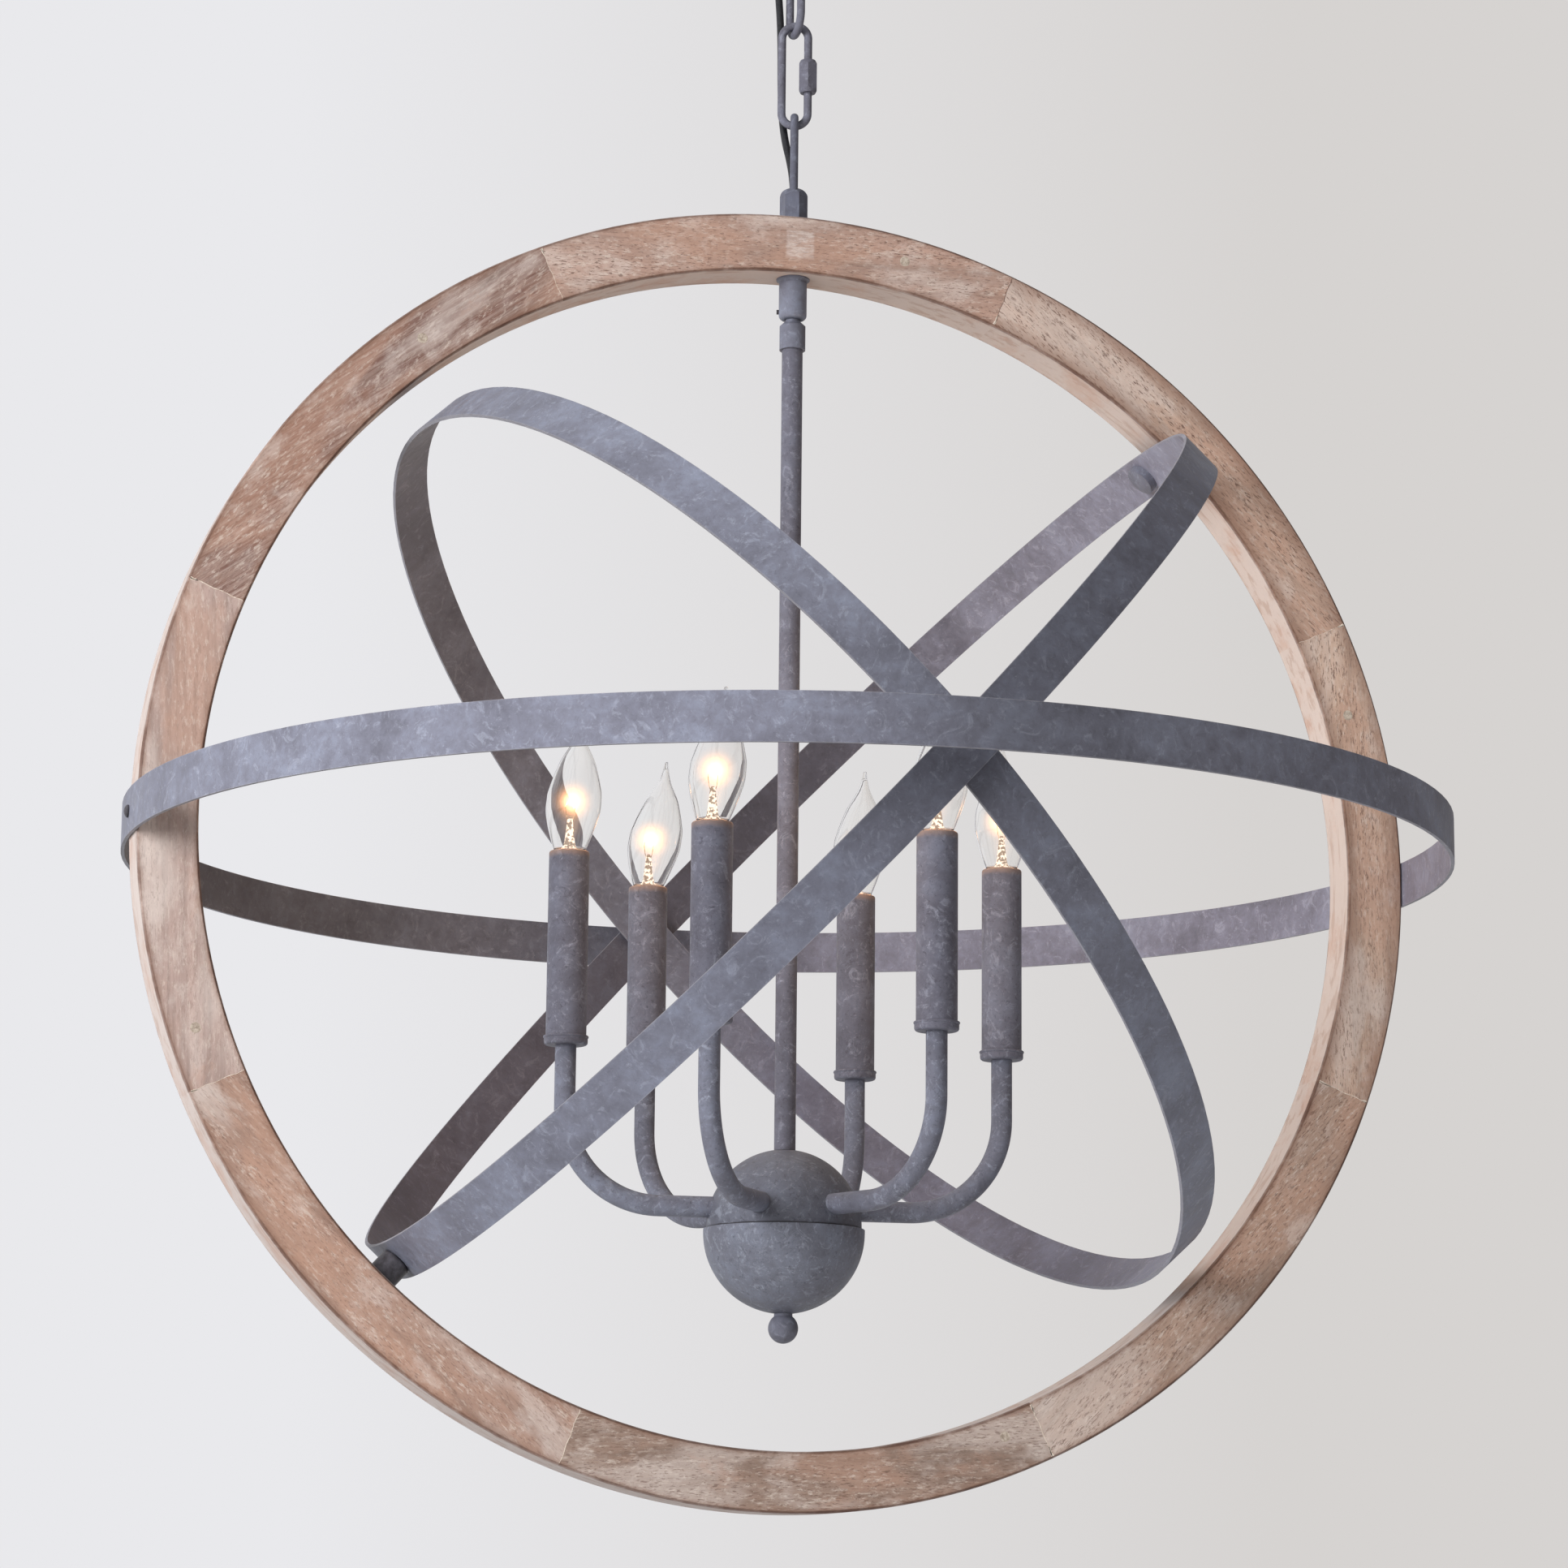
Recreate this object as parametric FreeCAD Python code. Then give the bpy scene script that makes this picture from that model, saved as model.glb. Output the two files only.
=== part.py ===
import FreeCAD, Part
import math
import os

# Orb chandelier with a wood ring, three steel bands and six candle lamps.
# Millimetres and degrees. +Z is up, and the origin is the centre of the canopy's ceiling face.
# The wood ring stands in the XZ plane, below the chain.

# Ceiling fitting
canopyRadius = 65.0
canopyDepth = 28.0
canopyWall = 1.2
canopyRimHeight = 5.0
canopyFlatRadius = 22.0
crossbarLength = 104.0
crossbarWidth = 18.0
crossbarThick = 2.5
crossbarEnd = 4.0
crossbarSlotLength = 16.0
crossbarSlotWidth = 5.0
canopyLoopReach = 52.0

# Threaded tubes and their nuts
nippleRadius = 4.76
nippleBore = 3.2
threadGap = 0.05
lockNutFlats = 14.0
lockNutThick = 4.0

# Chain, quick link and loops
wireRadius = 2.4
linkGap = 0.25
chainLinkLength = 46.0
chainLinkWidth = 28.0
quickLinkLength = 67.0
quickLinkWidth = 20.3
quickNutLength = 20.2
quickNutFlats = 10.5
quickNutDrop = 21.5
quickNutChamfer = 1.6
quickGateGap = 5.5
quickThreadHold = 4.2
loopReach = 65.3
loopArcRadius = 7.0
loopFootHalf = 4.9
loopFootSink = 2.4
collarFlats = 14.3
collarHeight = 20.4
collarTopRadius = 5.0
collarShoulder = 4.0
collarThreadDepth = 12.0
hangerTurn = -16.0
collarTurn = 6.5

# Power cord
cordRadius = 2.2
cordGap = 0.4
cordSeatDepth = 5.0
conductorRadius = 1.5

# Wood ring
ringOuterRadius = 376.0
ringWidth = 34.3
ringThick = 29.0
ringEase = 1.2
segmentCount = 8
segmentTurn = 2.0
plugRadius = 3.0
plugDepth = 2.5
plugRadiusShares = [0.958, 0.950, 0.959, 0.942, 0.955]
plugAngles = [199.5, 16.3, 79.7, 291.0, 128.5]

# Equator band
bandThick = 2.0
equatorGap = 0.6
equatorWidth = 26.0
equatorScrewRadius = 2.0
equatorScrewHead = 3.6
equatorScrewHeadHeight = 2.4
equatorScrewLength = 24.0
pivotGap = 0.08
headGap = 0.1

# Tilted bands
bandInset = 13.8
tiltedBandWidth = 25.4
bandSpace = 6.3
outerBandAngle = 47.5
innerBandAngle = 132.8
rivetRadius = 2.4
rivetFlare = 1.6
washerRadius = 6.5
spacerRadius = 8.9
spacerEase = 1.5
boltRadius = 2.5
boltLength = 24.0
boltHeadRadius = 9.0
boltHeadHeight = 6.2
boltRimHeight = 4.8

# Swivel under the ring
housingRadius = 8.2
housingHeight = 21.9
housingBore = 6.35
housingRound = 2.8
capFlangeRadius = 9.8
capFlangeHeight = 2.9
capSpigotLength = 6.5
ballRadius = 5.9
ballGap = 0.1
ballCentreDrop = 15.0
neckRadius = 4.3
neckGap = 0.4
couplingRadius = 7.6
couplingDrop = 26.3
couplingLength = 16.9
couplingShoulder = 2.5
couplingSocketDepth = 12.5
setScrewRadius = 1.4
setScrewRise = 4.9
setScrewReach = 1.3

# Down rod and hub
rodRadius = 6.1
hubRise = 122.9
domeRadius = 43.9
domeSkirt = 3.0
hubWall = 1.5
bowlGap = 0.3
bowlLip = 1.6
hubNippleRise = 14.0
finialRadius = 8.5
finialNeckRadius = 5.2
finialNeckHeight = 1.6
finialThreadDepth = 9.0

# Arms and candles
armCount = 6
firstArmAngle = 54.6
armReach = 126.3
armRadius = 6.0
armWall = 1.2
armBend = 54.0
armRise = 13.3
armInnerRadius = 25.0
armHoleGap = 0.1
armNutFlats = 16.0
armNutThick = 3.5
cupHeight = 5.4
cupWall = 0.8
cupGap = 0.1
lipRadius = 0.75
cupRise = 102.2
sleeveRadius = 11.5
sleeveWall = 0.9
sleeveLength = 110.2
sleeveRound = 1.3
socketRadius = 9.2
socketHeight = 34.0
socketSink = 6.0
socketBore = 6.1
socketDepth = 24.0
postRadius = 4.0
seatThick = 0.8

# Bulbs
bulbBaseRadius = 5.8
bulbBaseSink = 1.5
bulbRadius = 15.9
bulbHeight = 77.0
bulbTipRadius = 0.8
bulbTipShifts = [4.9, 10.0, 5.3, 6.6, 5.0, 5.0]
bulbTurns = [-16.0, -16.0, -16.0, -16.0, 30.0, 70.0]
bulbHeightShares = [0.0, 0.058, 0.149, 0.249, 0.344, 0.435, 0.526, 0.617, 0.708, 0.786, 0.857, 0.929]
bulbRadiusShares = [0.50, 0.62, 0.77, 0.91, 0.99, 0.98, 0.89, 0.76, 0.60, 0.40, 0.225, 0.11]
bulbShiftShares = [0.0, 0.04, 0.12, 0.22, 0.33, 0.43, 0.53, 0.63, 0.73, 0.81, 0.88, 0.95]

overrun = 5.0

Vec = FreeCAD.Vector
origin = Vec(0, 0, 0)
axisX = Vec(1, 0, 0)
axisY = Vec(0, 1, 0)
axisZ = Vec(0, 0, 1)

# The crossbar's slots keep a solid end outside them
crossbarSlotSpacing = crossbarLength - crossbarSlotLength - 2 * crossbarEnd

# The ring's inner face and the outer tilted band follow the ring's outside
ringInnerRadius = ringOuterRadius - ringWidth
outerBandRadius = ringInnerRadius - bandInset

# Levels worked out from the top down
wireThick = 2 * wireRadius
barStep = wireThick + linkGap
canopyLoopEnd = -canopyDepth - canopyLoopReach
linkTwoTop = canopyLoopEnd + barStep
linkTwoEnd = linkTwoTop - chainLinkLength + wireThick
linkOneTop = linkTwoEnd + barStep
linkOneEnd = linkOneTop - chainLinkLength + wireThick
quickTop = linkOneEnd + barStep
quickEnd = quickTop - quickLinkLength + wireThick
loopTop = quickEnd + barStep
ringTop = loopTop - loopReach
ringZ = ringTop - ringOuterRadius
ringUnder = ringZ + ringInnerRadius

# Radii and levels worked out from the ring inward
equatorInner = ringOuterRadius + equatorGap
outerBandInner = outerBandRadius - bandThick
innerBandOuter = outerBandInner - bandSpace
innerBandInner = innerBandOuter - bandThick
capSag = ringInnerRadius - math.sqrt(ringInnerRadius ** 2 - capFlangeRadius ** 2)
capTop = ringUnder - capSag - threadGap
housingTop = capTop - capFlangeHeight
housingEnd = housingTop - housingHeight
ballZ = housingTop - ballCentreDrop
couplingTop = capTop - couplingDrop
couplingEnd = couplingTop - couplingLength
hubZ = ringZ - ringInnerRadius + hubRise
domeZ = hubZ + domeSkirt
armZ = hubZ + armRise
bowlInner = domeRadius + bowlGap
bowlRadius = bowlInner + hubWall
cupZ = hubZ + cupRise
sleeveFoot = cupZ + cupWall
sleeveTop = sleeveFoot + sleeveLength
socketTop = sleeveTop - socketSink
socketFloor = socketTop - socketDepth


def polar(radius, angle, z):
    turn = math.radians(angle)
    return Vec(radius * math.cos(turn), radius * math.sin(turn), z)


def line(a, b):
    return Part.LineSegment(a, b).toShape()


def arc(a, middle, b):
    return Part.Arc(a, middle, b).toShape()


def tube(outer, inner, low, high):
    body = Part.makeCylinder(outer, high - low, Vec(0, 0, low))
    return body.cut(Part.makeCylinder(inner, high - low + 2 * overrun, Vec(0, 0, low - overrun)))


def turned(points):
    """A solid of revolution about Z. A point is (r, z), and ("arc", (r, z), (r, z)) bends through its first."""
    edges = []
    start = Vec(points[0][0], 0, points[0][1])
    last = start
    for point in points[1:] + [points[0]]:
        if point[0] == "arc":
            middle = Vec(point[1][0], 0, point[1][1])
            end = Vec(point[2][0], 0, point[2][1])
            edges.append(arc(last, middle, end))
        else:
            end = Vec(point[0], 0, point[1])
            if end.isEqual(last, 1e-7):
                continue
            edges.append(line(last, end))
        last = end
    return Part.Face(Part.Wire(edges)).revolve(origin, axisZ, 360)


def hexPrism(flats, low, high, turn=0.0):
    corner = flats / math.sqrt(3)
    corners = [polar(corner, turn + 30 + 60 * k, low) for k in range(7)]
    return Part.Face(Part.makePolygon(corners)).extrude(Vec(0, 0, high - low))


def pipe(edges, radius, start, direction):
    ring = Part.Wire([Part.makeCircle(radius, start, direction)])
    return Part.Wire(edges).makePipeShell([ring], True, False)


def lockNut(low, bore, flats, thick):
    nut = hexPrism(flats, low, low + thick)
    corner = flats / math.sqrt(3)
    bevel = (corner - flats / 2) * 0.8
    form = turned([(0, low), (corner - bevel, low), (corner, low + bevel / 2), (corner, low + thick - bevel / 2),
                   (corner - bevel, low + thick), (0, low + thick)])
    hole = Part.makeCylinder(bore, thick + 2 * overrun, Vec(0, 0, low - overrun))
    return nut.common(form).cut(hole)


def stadium(length, width, topZ):
    """A closed link of round wire in the XZ plane. topZ is its top bar's centre, length and width are outside."""
    radius = width / 2 - wireRadius
    high = topZ - radius
    low = topZ - (length - wireThick) + radius
    edges = [arc(Vec(radius, 0, high), Vec(0, 0, high + radius), Vec(-radius, 0, high)),
             line(Vec(-radius, 0, high), Vec(-radius, 0, low)),
             arc(Vec(-radius, 0, low), Vec(0, 0, low - radius), Vec(radius, 0, low)),
             line(Vec(radius, 0, low), Vec(radius, 0, high))]
    return pipe(edges, wireRadius, Vec(radius, 0, high), axisZ)


def hexLoop(reach):
    """A cast hexagon collar with an eye on it, seated at z 0. The eye stands in the YZ plane."""
    collar = hexPrism(collarFlats, 0, collarHeight, collarTurn - hangerTurn)
    corner = collarFlats / math.sqrt(3)
    shoulder = collarHeight - collarShoulder
    form = turned([(0, 0), (corner, 0), (corner, shoulder),
                   ("arc", ((corner + collarTopRadius) / 2 + collarShoulder / 8, shoulder + collarShoulder * 0.6),
                    (collarTopRadius, collarHeight)), (0, collarHeight)])
    collar = collar.common(form)
    # The eye's sides are tangent to its top arc
    centreZ = reach - loopArcRadius
    footZ = collarHeight - loopFootSink
    toCentre = math.hypot(loopFootHalf, centreZ - footZ)
    lean = math.asin(loopArcRadius / toCentre) - math.atan2(loopFootHalf, centreZ - footZ)
    tangentY = loopArcRadius * math.cos(lean)
    tangentZ = centreZ - loopArcRadius * math.sin(lean)
    foot = Vec(0, loopFootHalf, footZ)
    sides = [Vec(0, tangentY, tangentZ), Vec(0, -tangentY, tangentZ)]
    edges = [line(foot, sides[0]), arc(sides[0], Vec(0, 0, reach), sides[1]),
             line(sides[1], Vec(0, -loopFootHalf, footZ))]
    eye = pipe(edges, wireRadius, foot, sides[0].sub(foot))
    body = collar.fuse(eye)
    seat = collarHeight - cordSeatDepth - cordGap
    body = body.cut(Part.makeCylinder(cordRadius + cordGap, collarHeight, Vec(0, 0, seat)))
    body = body.cut(Part.makeCylinder(conductorRadius, 2 * collarHeight, Vec(0, 0, -overrun)))
    thread = Part.makeCylinder(nippleRadius + threadGap, collarThreadDepth + overrun, Vec(0, 0, -overrun))
    return body.cut(thread)


def dome(radius, rimZ, crownZ):
    """The middle point and crown of a round cap that starts at (radius, rimZ) and ends on the axis."""
    rise = crownZ - rimZ
    ball = (rise ** 2 + radius ** 2) / (2 * rise)
    half = math.asin(radius / abs(ball)) / 2
    return (abs(ball) * math.sin(half), crownZ - ball + ball * math.cos(half)), (0, crownZ)


def placed(shape, z=0.0, turn=0.0):
    out = shape.copy()
    out.rotate(origin, axisZ, turn)
    out.translate(Vec(0, 0, z))
    return out


def bandRing(outer, width, axis):
    ring = tube(outer, outer - bandThick, -width / 2, width / 2)
    ring.rotate(origin, axisY, math.degrees(math.atan2(axis.x, axis.z)))
    ring.translate(Vec(0, 0, ringZ))
    return ring


def radialHole(radius, reach, length, direction):
    """A cylinder about the ring's centre line along a direction, from reach outward."""
    start = direction * reach
    start.z += ringZ
    return Part.makeCylinder(radius, length, start, direction)


def radial(shape, direction):
    """Turns a shape built along +Z about z 0 so that it runs along a direction from the ring's centre."""
    out = shape.copy()
    out.Placement = FreeCAD.Placement(Vec(0, 0, ringZ), FreeCAD.Rotation(axisZ, direction))
    return out


def alongRing(angle):
    turn = math.radians(angle)
    return Vec(math.cos(turn), 0, math.sin(turn))


outerBandSides = [alongRing(outerBandAngle), alongRing(outerBandAngle + 180)]
pivotSides = [Vec(0, -1, 0), axisY]
equatorSides = [axisX, Vec(-1, 0, 0)]


# Ceiling fitting

def ceilingCrossbar():
    plate = Part.makeBox(crossbarLength, crossbarWidth, crossbarThick,
                         Vec(-crossbarLength / 2, -crossbarWidth / 2, -crossbarThick))
    corners = [edge for edge in plate.Edges if abs(edge.Vertexes[0].Z - edge.Vertexes[1].Z) > crossbarThick / 2]
    plate = plate.makeFillet(crossbarWidth / 4, corners)
    radius = crossbarSlotWidth / 2
    run = crossbarSlotLength - crossbarSlotWidth
    for side in (-1, 1):
        middle = side * crossbarSlotSpacing / 2
        low = -crossbarThick - overrun
        slot = Part.makeBox(run, crossbarSlotWidth, crossbarThick + 2 * overrun, Vec(middle - run / 2, -radius, low))
        for end in (-1, 1):
            slot = slot.fuse(Part.makeCylinder(radius, crossbarThick + 2 * overrun,
                                               Vec(middle + end * run / 2, 0, low)))
        plate = plate.cut(slot)
    hole = Part.makeCylinder(nippleRadius + threadGap, crossbarThick + 2 * overrun,
                             Vec(0, 0, -crossbarThick - overrun))
    return plate.cut(hole)


def canopyForm(radius, depth, flat, top):
    """The filled form of the pan: a straight rim, then a hollow curve in to a flat bottom."""
    rim = -canopyRimHeight
    middle = ((radius + flat) / 2 + canopyRimHeight, (rim - depth) / 2 - canopyRimHeight)
    return turned([(0, top), (radius, top), (radius, rim), ("arc", middle, (flat, -depth)), (0, -depth)])


def canopy():
    outer = canopyForm(canopyRadius, canopyDepth, canopyFlatRadius, 0)
    inner = canopyForm(canopyRadius - canopyWall, canopyDepth - canopyWall, canopyFlatRadius, overrun)
    hole = Part.makeCylinder(nippleRadius + threadGap, 2 * canopyDepth, Vec(0, 0, -canopyDepth - overrun))
    return outer.cut(inner).cut(hole)


def canopyNipple():
    return tube(nippleRadius, nippleBore, -canopyDepth - collarThreadDepth, 0)


def canopyNut():
    return lockNut(-canopyDepth + canopyWall, nippleRadius + threadGap, lockNutFlats, lockNutThick)


def canopyLoop():
    loop = hexLoop(canopyLoopReach)
    loop.rotate(origin, axisX, 180)
    return placed(loop, -canopyDepth)


# Chain

def chainLinkTwo():
    return stadium(chainLinkLength, chainLinkWidth, linkTwoTop)


def chainLinkOne():
    return placed(stadium(chainLinkLength, chainLinkWidth, linkOneTop), 0, 90)


def quickLink():
    """An open link: the gate's two ends meet inside the hexagon nut."""
    link = stadium(quickLinkLength, quickLinkWidth, quickTop)
    leg = quickLinkWidth / 2 - wireRadius
    gateLow = quickTop - quickNutDrop - quickNutLength + quickThreadHold
    gate = Part.makeBox(2 * wireThick, 2 * wireThick, quickGateGap, Vec(leg - wireThick, -wireThick, gateLow))
    return placed(link.cut(gate), 0, hangerTurn)


def quickLinkNut():
    leg = quickLinkWidth / 2 - wireRadius
    high = quickTop - quickNutDrop
    low = high - quickNutLength
    corner = quickNutFlats / math.sqrt(3)
    nut = hexPrism(quickNutFlats, low, high)
    form = turned([(0, low), (corner - quickNutChamfer, low), (corner, low + 2 * quickNutChamfer),
                   (corner, high - 2 * quickNutChamfer), (corner - quickNutChamfer, high), (0, high)])
    nut = nut.common(form)
    nut = nut.cut(Part.makeCylinder(wireRadius + pivotGap, 2 * quickNutLength, Vec(0, 0, low - overrun)))
    nut.translate(Vec(leg, 0, 0))
    return placed(nut, 0, hangerTurn)


# Wood ring

def ringSection():
    """The ring's section with eased edges, at angle 0 in the ring's plane."""
    half = ringThick / 2
    inner = ringInnerRadius
    outer = ringOuterRadius
    points = [Vec(inner + ringEase, -half, 0), Vec(outer - ringEase, -half, 0), Vec(outer, -half + ringEase, 0),
              Vec(outer, half - ringEase, 0), Vec(outer - ringEase, half, 0), Vec(inner + ringEase, half, 0),
              Vec(inner, half - ringEase, 0), Vec(inner, -half + ringEase, 0)]
    return Part.Face(Part.makePolygon(points + points[:1]))


def ringHoles():
    """Everything bored into the wood: the centre tube, the band bolts, the equator screws and the plugs."""
    holes = [radialHole(nippleRadius + threadGap, ringInnerRadius - overrun, 2 * boltLength, axisZ)]
    for side in outerBandSides:
        holes.append(radialHole(boltRadius + threadGap, ringInnerRadius - overrun, boltLength + overrun, side))
    for side in equatorSides:
        depth = equatorScrewLength - equatorGap - bandThick - headGap
        holes.append(radialHole(equatorScrewRadius + threadGap, ringOuterRadius - depth, depth + overrun, side))
    return holes + [plug(k, overrun) for k in range(len(plugAngles))]


def plug(k, extra=0.0):
    place = alongRing(plugAngles[k]) * (ringOuterRadius * plugRadiusShares[k])
    place.z += ringZ
    place.y = -ringThick / 2 + plugDepth
    return Part.makeCylinder(plugRadius, plugDepth + extra, place, Vec(0, -1, 0))


def woodSegment(k, holes):
    step = 360 / segmentCount
    section = ringSection()
    section.rotate(origin, axisY, -(segmentTurn - step / 2 + k * step))
    section.translate(Vec(0, 0, ringZ))
    segment = section.revolve(Vec(0, 0, ringZ), axisY, -step)
    near = segment.BoundBox
    for hole in holes:
        if near.intersect(hole.BoundBox):
            segment = segment.cut(hole)
    return segment


def woodPlugs():
    return Part.makeCompound([plug(k) for k in range(len(plugAngles))])


def frameNipple():
    return tube(nippleRadius, nippleBore, housingTop - capSpigotLength, ringTop + collarThreadDepth)


def topLoop():
    return placed(hexLoop(loopReach), ringTop, hangerTurn)


# Bands and their fixings

def equatorBand():
    band = bandRing(equatorInner + bandThick, equatorWidth, axisZ)
    for side in equatorSides:
        band = band.cut(radialHole(equatorScrewRadius + pivotGap, ringOuterRadius, 2 * overrun, side))
    return band


def equatorScrews():
    seat = equatorInner + bandThick + headGap
    top = seat + equatorScrewHeadHeight
    low = seat - equatorScrewLength
    rim = equatorScrewHeadHeight / 3
    screw = turned([(0, low), (equatorScrewRadius, low + equatorScrewRadius), (equatorScrewRadius, seat),
                    (equatorScrewHead, seat), (equatorScrewHead, seat + rim),
                    ("arc", *dome(equatorScrewHead, seat + rim, top))])
    return Part.makeCompound([radial(screw, side) for side in equatorSides])


def outerBand():
    band = bandRing(outerBandRadius, tiltedBandWidth, alongRing(outerBandAngle + 90))
    for side in outerBandSides:
        band = band.cut(radialHole(boltRadius + pivotGap, outerBandInner - overrun, 4 * overrun, side))
    for side in pivotSides:
        band = band.cut(radial(rivetForm(outerBandInner - overrun, outerBandRadius, threadGap), side))
    return band


def innerBand():
    band = bandRing(innerBandOuter, tiltedBandWidth, alongRing(innerBandAngle + 90))
    for side in pivotSides:
        band = band.cut(radial(rivetForm(innerBandInner, innerBandOuter + overrun, pivotGap), side))
    return band


def rivetForm(low, high, gap):
    """A rivet with a flush flared head at each end, or the hole for one when gap is its clearance."""
    shank = rivetRadius + gap
    flare = shank + rivetFlare
    inner = innerBandInner
    outer = outerBandRadius
    points = [(0, low)]
    if low <= inner:
        points += [(flare, low), (flare, inner), (shank, inner + rivetFlare)]
    else:
        points += [(shank, low)]
    if high >= outer:
        points += [(shank, outer - rivetFlare), (flare, outer), (flare, high)]
    else:
        points += [(shank, high)]
    return turned(points + [(0, high)])


def pivotRivets():
    rivet = rivetForm(innerBandInner, outerBandRadius, 0)
    return Part.makeCompound([radial(rivet, side) for side in pivotSides])


def pivotWashers():
    high = math.sqrt(outerBandInner ** 2 - washerRadius ** 2) - headGap
    washer = tube(washerRadius, rivetRadius + pivotGap, innerBandOuter + headGap, high)
    return Part.makeCompound([radial(washer, side) for side in pivotSides])


def bandSpacers():
    """Turned posts between the ring's inner face and the outer tilted band."""
    high = math.sqrt(ringInnerRadius ** 2 - spacerRadius ** 2) - threadGap
    low = outerBandRadius + headGap
    bend = spacerEase * 0.3
    post = turned([(boltRadius + threadGap, low), (spacerRadius - spacerEase, low),
                   ("arc", (spacerRadius - bend, low + bend), (spacerRadius, low + spacerEase)),
                   (spacerRadius, high), (boltRadius + threadGap, high)])
    return Part.makeCompound([radial(post, side) for side in outerBandSides])


def bandBolts():
    seat = math.sqrt(outerBandInner ** 2 - boltHeadRadius ** 2) - headGap
    rim = seat - boltRimHeight
    top = seat - boltHeadHeight
    tip = ringInnerRadius + boltLength - boltRadius
    bolt = turned([(0, tip), (boltRadius, tip), (boltRadius, seat), (boltHeadRadius, seat), (boltHeadRadius, rim),
                   ("arc", *dome(boltHeadRadius, rim, top))])
    return Part.makeCompound([radial(bolt, side) for side in outerBandSides])


# Swivel

def swivelCap():
    bore = nippleRadius + threadGap
    spigot = housingBore - threadGap
    low = housingTop - capSpigotLength
    rim = capFlangeHeight / 4
    return turned([(bore, low), (spigot, low), (spigot, housingTop), (housingRadius, housingTop),
                   ("arc", (housingRadius + rim / 2, capTop - 1.5 * rim), (capFlangeRadius, capTop - rim)),
                   (capFlangeRadius, capTop), (bore, capTop)])


def swivelHousing():
    throat = neckRadius + neckGap
    seatRadius = ballRadius + ballGap
    rounding = housingEnd + housingRound
    form = turned([(0, housingEnd), (housingRadius - housingRound, housingEnd),
                   ("arc", (housingRadius - housingRound * 0.3, housingEnd + housingRound * 0.3),
                    (housingRadius, rounding)), (housingRadius, housingTop), (0, housingTop)])
    bore = Part.makeCylinder(housingBore, housingTop - ballZ + overrun, Vec(0, 0, ballZ))
    seat = Part.makeSphere(seatRadius, Vec(0, 0, ballZ))
    mouth = Part.makeCylinder(throat, ballZ - housingEnd + overrun, Vec(0, 0, housingEnd - overrun))
    return form.cut(bore.fuse(seat).fuse(mouth)).cut(setScrewForm(threadGap))


def setScrewForm(gap):
    """The grub screw in the housing's side. It stops short of the ball."""
    low = ballRadius + ballGap
    high = housingRadius + setScrewReach + gap
    direction = polar(1, hangerTurn + 180, 0)
    start = polar(low, hangerTurn + 180, housingEnd + setScrewRise)
    return Part.makeCylinder(setScrewRadius + gap, high - low, start, direction)


def swivelStem():
    """Ball, neck and the coupling that the rod fits into, turned in one piece."""
    throatZ = ballZ - math.sqrt(ballRadius ** 2 - neckRadius ** 2)
    bore = nippleBore
    topZ = ballZ + math.sqrt(ballRadius ** 2 - bore ** 2)
    shoulderZ = couplingTop - couplingShoulder
    socketZ = couplingEnd + couplingSocketDepth
    return turned([(bore, topZ), ("arc", (ballRadius, ballZ), (neckRadius, throatZ)), (neckRadius, couplingTop),
                   (neckRadius + couplingShoulder / 4, couplingTop), (couplingRadius, shoulderZ),
                   (couplingRadius, couplingEnd), (rodRadius + threadGap, couplingEnd),
                   (rodRadius + threadGap, socketZ), (bore, socketZ)])


# Rod and hub

def rodFoot():
    hole = nippleRadius + threadGap
    return domeZ + math.sqrt(domeRadius ** 2 - hole ** 2)


def downRod():
    return tube(rodRadius, nippleRadius + threadGap, rodFoot(), couplingEnd + couplingSocketDepth)


def hubDome():
    inner = domeRadius - hubWall
    half = math.sqrt(0.5)
    form = turned([(inner, hubZ), (domeRadius, hubZ), (domeRadius, domeZ),
                   ("arc", (domeRadius * half, domeZ + domeRadius * half), (0, domeZ + domeRadius)),
                   (0, domeZ + inner), ("arc", (inner * half, domeZ + inner * half), (inner, domeZ))])
    form = form.cut(Part.makeCylinder(nippleRadius + threadGap, 2 * domeRadius, Vec(0, 0, hubZ)))
    for k in range(armCount):
        angle = firstArmAngle + k * 360 / armCount
        form = form.cut(Part.makeCylinder(armRadius + armHoleGap, domeRadius, Vec(0, 0, armZ), polar(1, angle, 0)))
    return form


def hubBowl():
    lip = hubZ + bowlLip
    half = math.sqrt(0.5)
    form = turned([(bowlInner, lip), (bowlRadius, lip), (bowlRadius, hubZ),
                   ("arc", (bowlRadius * half, hubZ - bowlRadius * half), (0, hubZ - bowlRadius)),
                   (0, hubZ - bowlInner), ("arc", (bowlInner * half, hubZ - bowlInner * half), (bowlInner, hubZ))])
    return form.cut(Part.makeCylinder(nippleRadius + threadGap, 2 * bowlRadius, Vec(0, 0, hubZ - 2 * bowlRadius)))


def finialSeat():
    return hubZ - math.sqrt(bowlRadius ** 2 - finialNeckRadius ** 2) - headGap


def hubNipple():
    return tube(nippleRadius, nippleBore, hubZ - bowlRadius - finialThreadDepth + overrun / 2,
                rodFoot() + hubNippleRise)


def hubLockNuts():
    corner = lockNutFlats / math.sqrt(3)
    bore = nippleRadius + threadGap
    inner = domeRadius - hubWall
    upper = domeZ + math.sqrt(inner ** 2 - corner ** 2) - lockNutThick
    lower = hubZ - math.sqrt(bowlInner ** 2 - corner ** 2)
    return Part.makeCompound([lockNut(low, bore, lockNutFlats, lockNutThick) for low in (upper, lower)])


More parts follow.
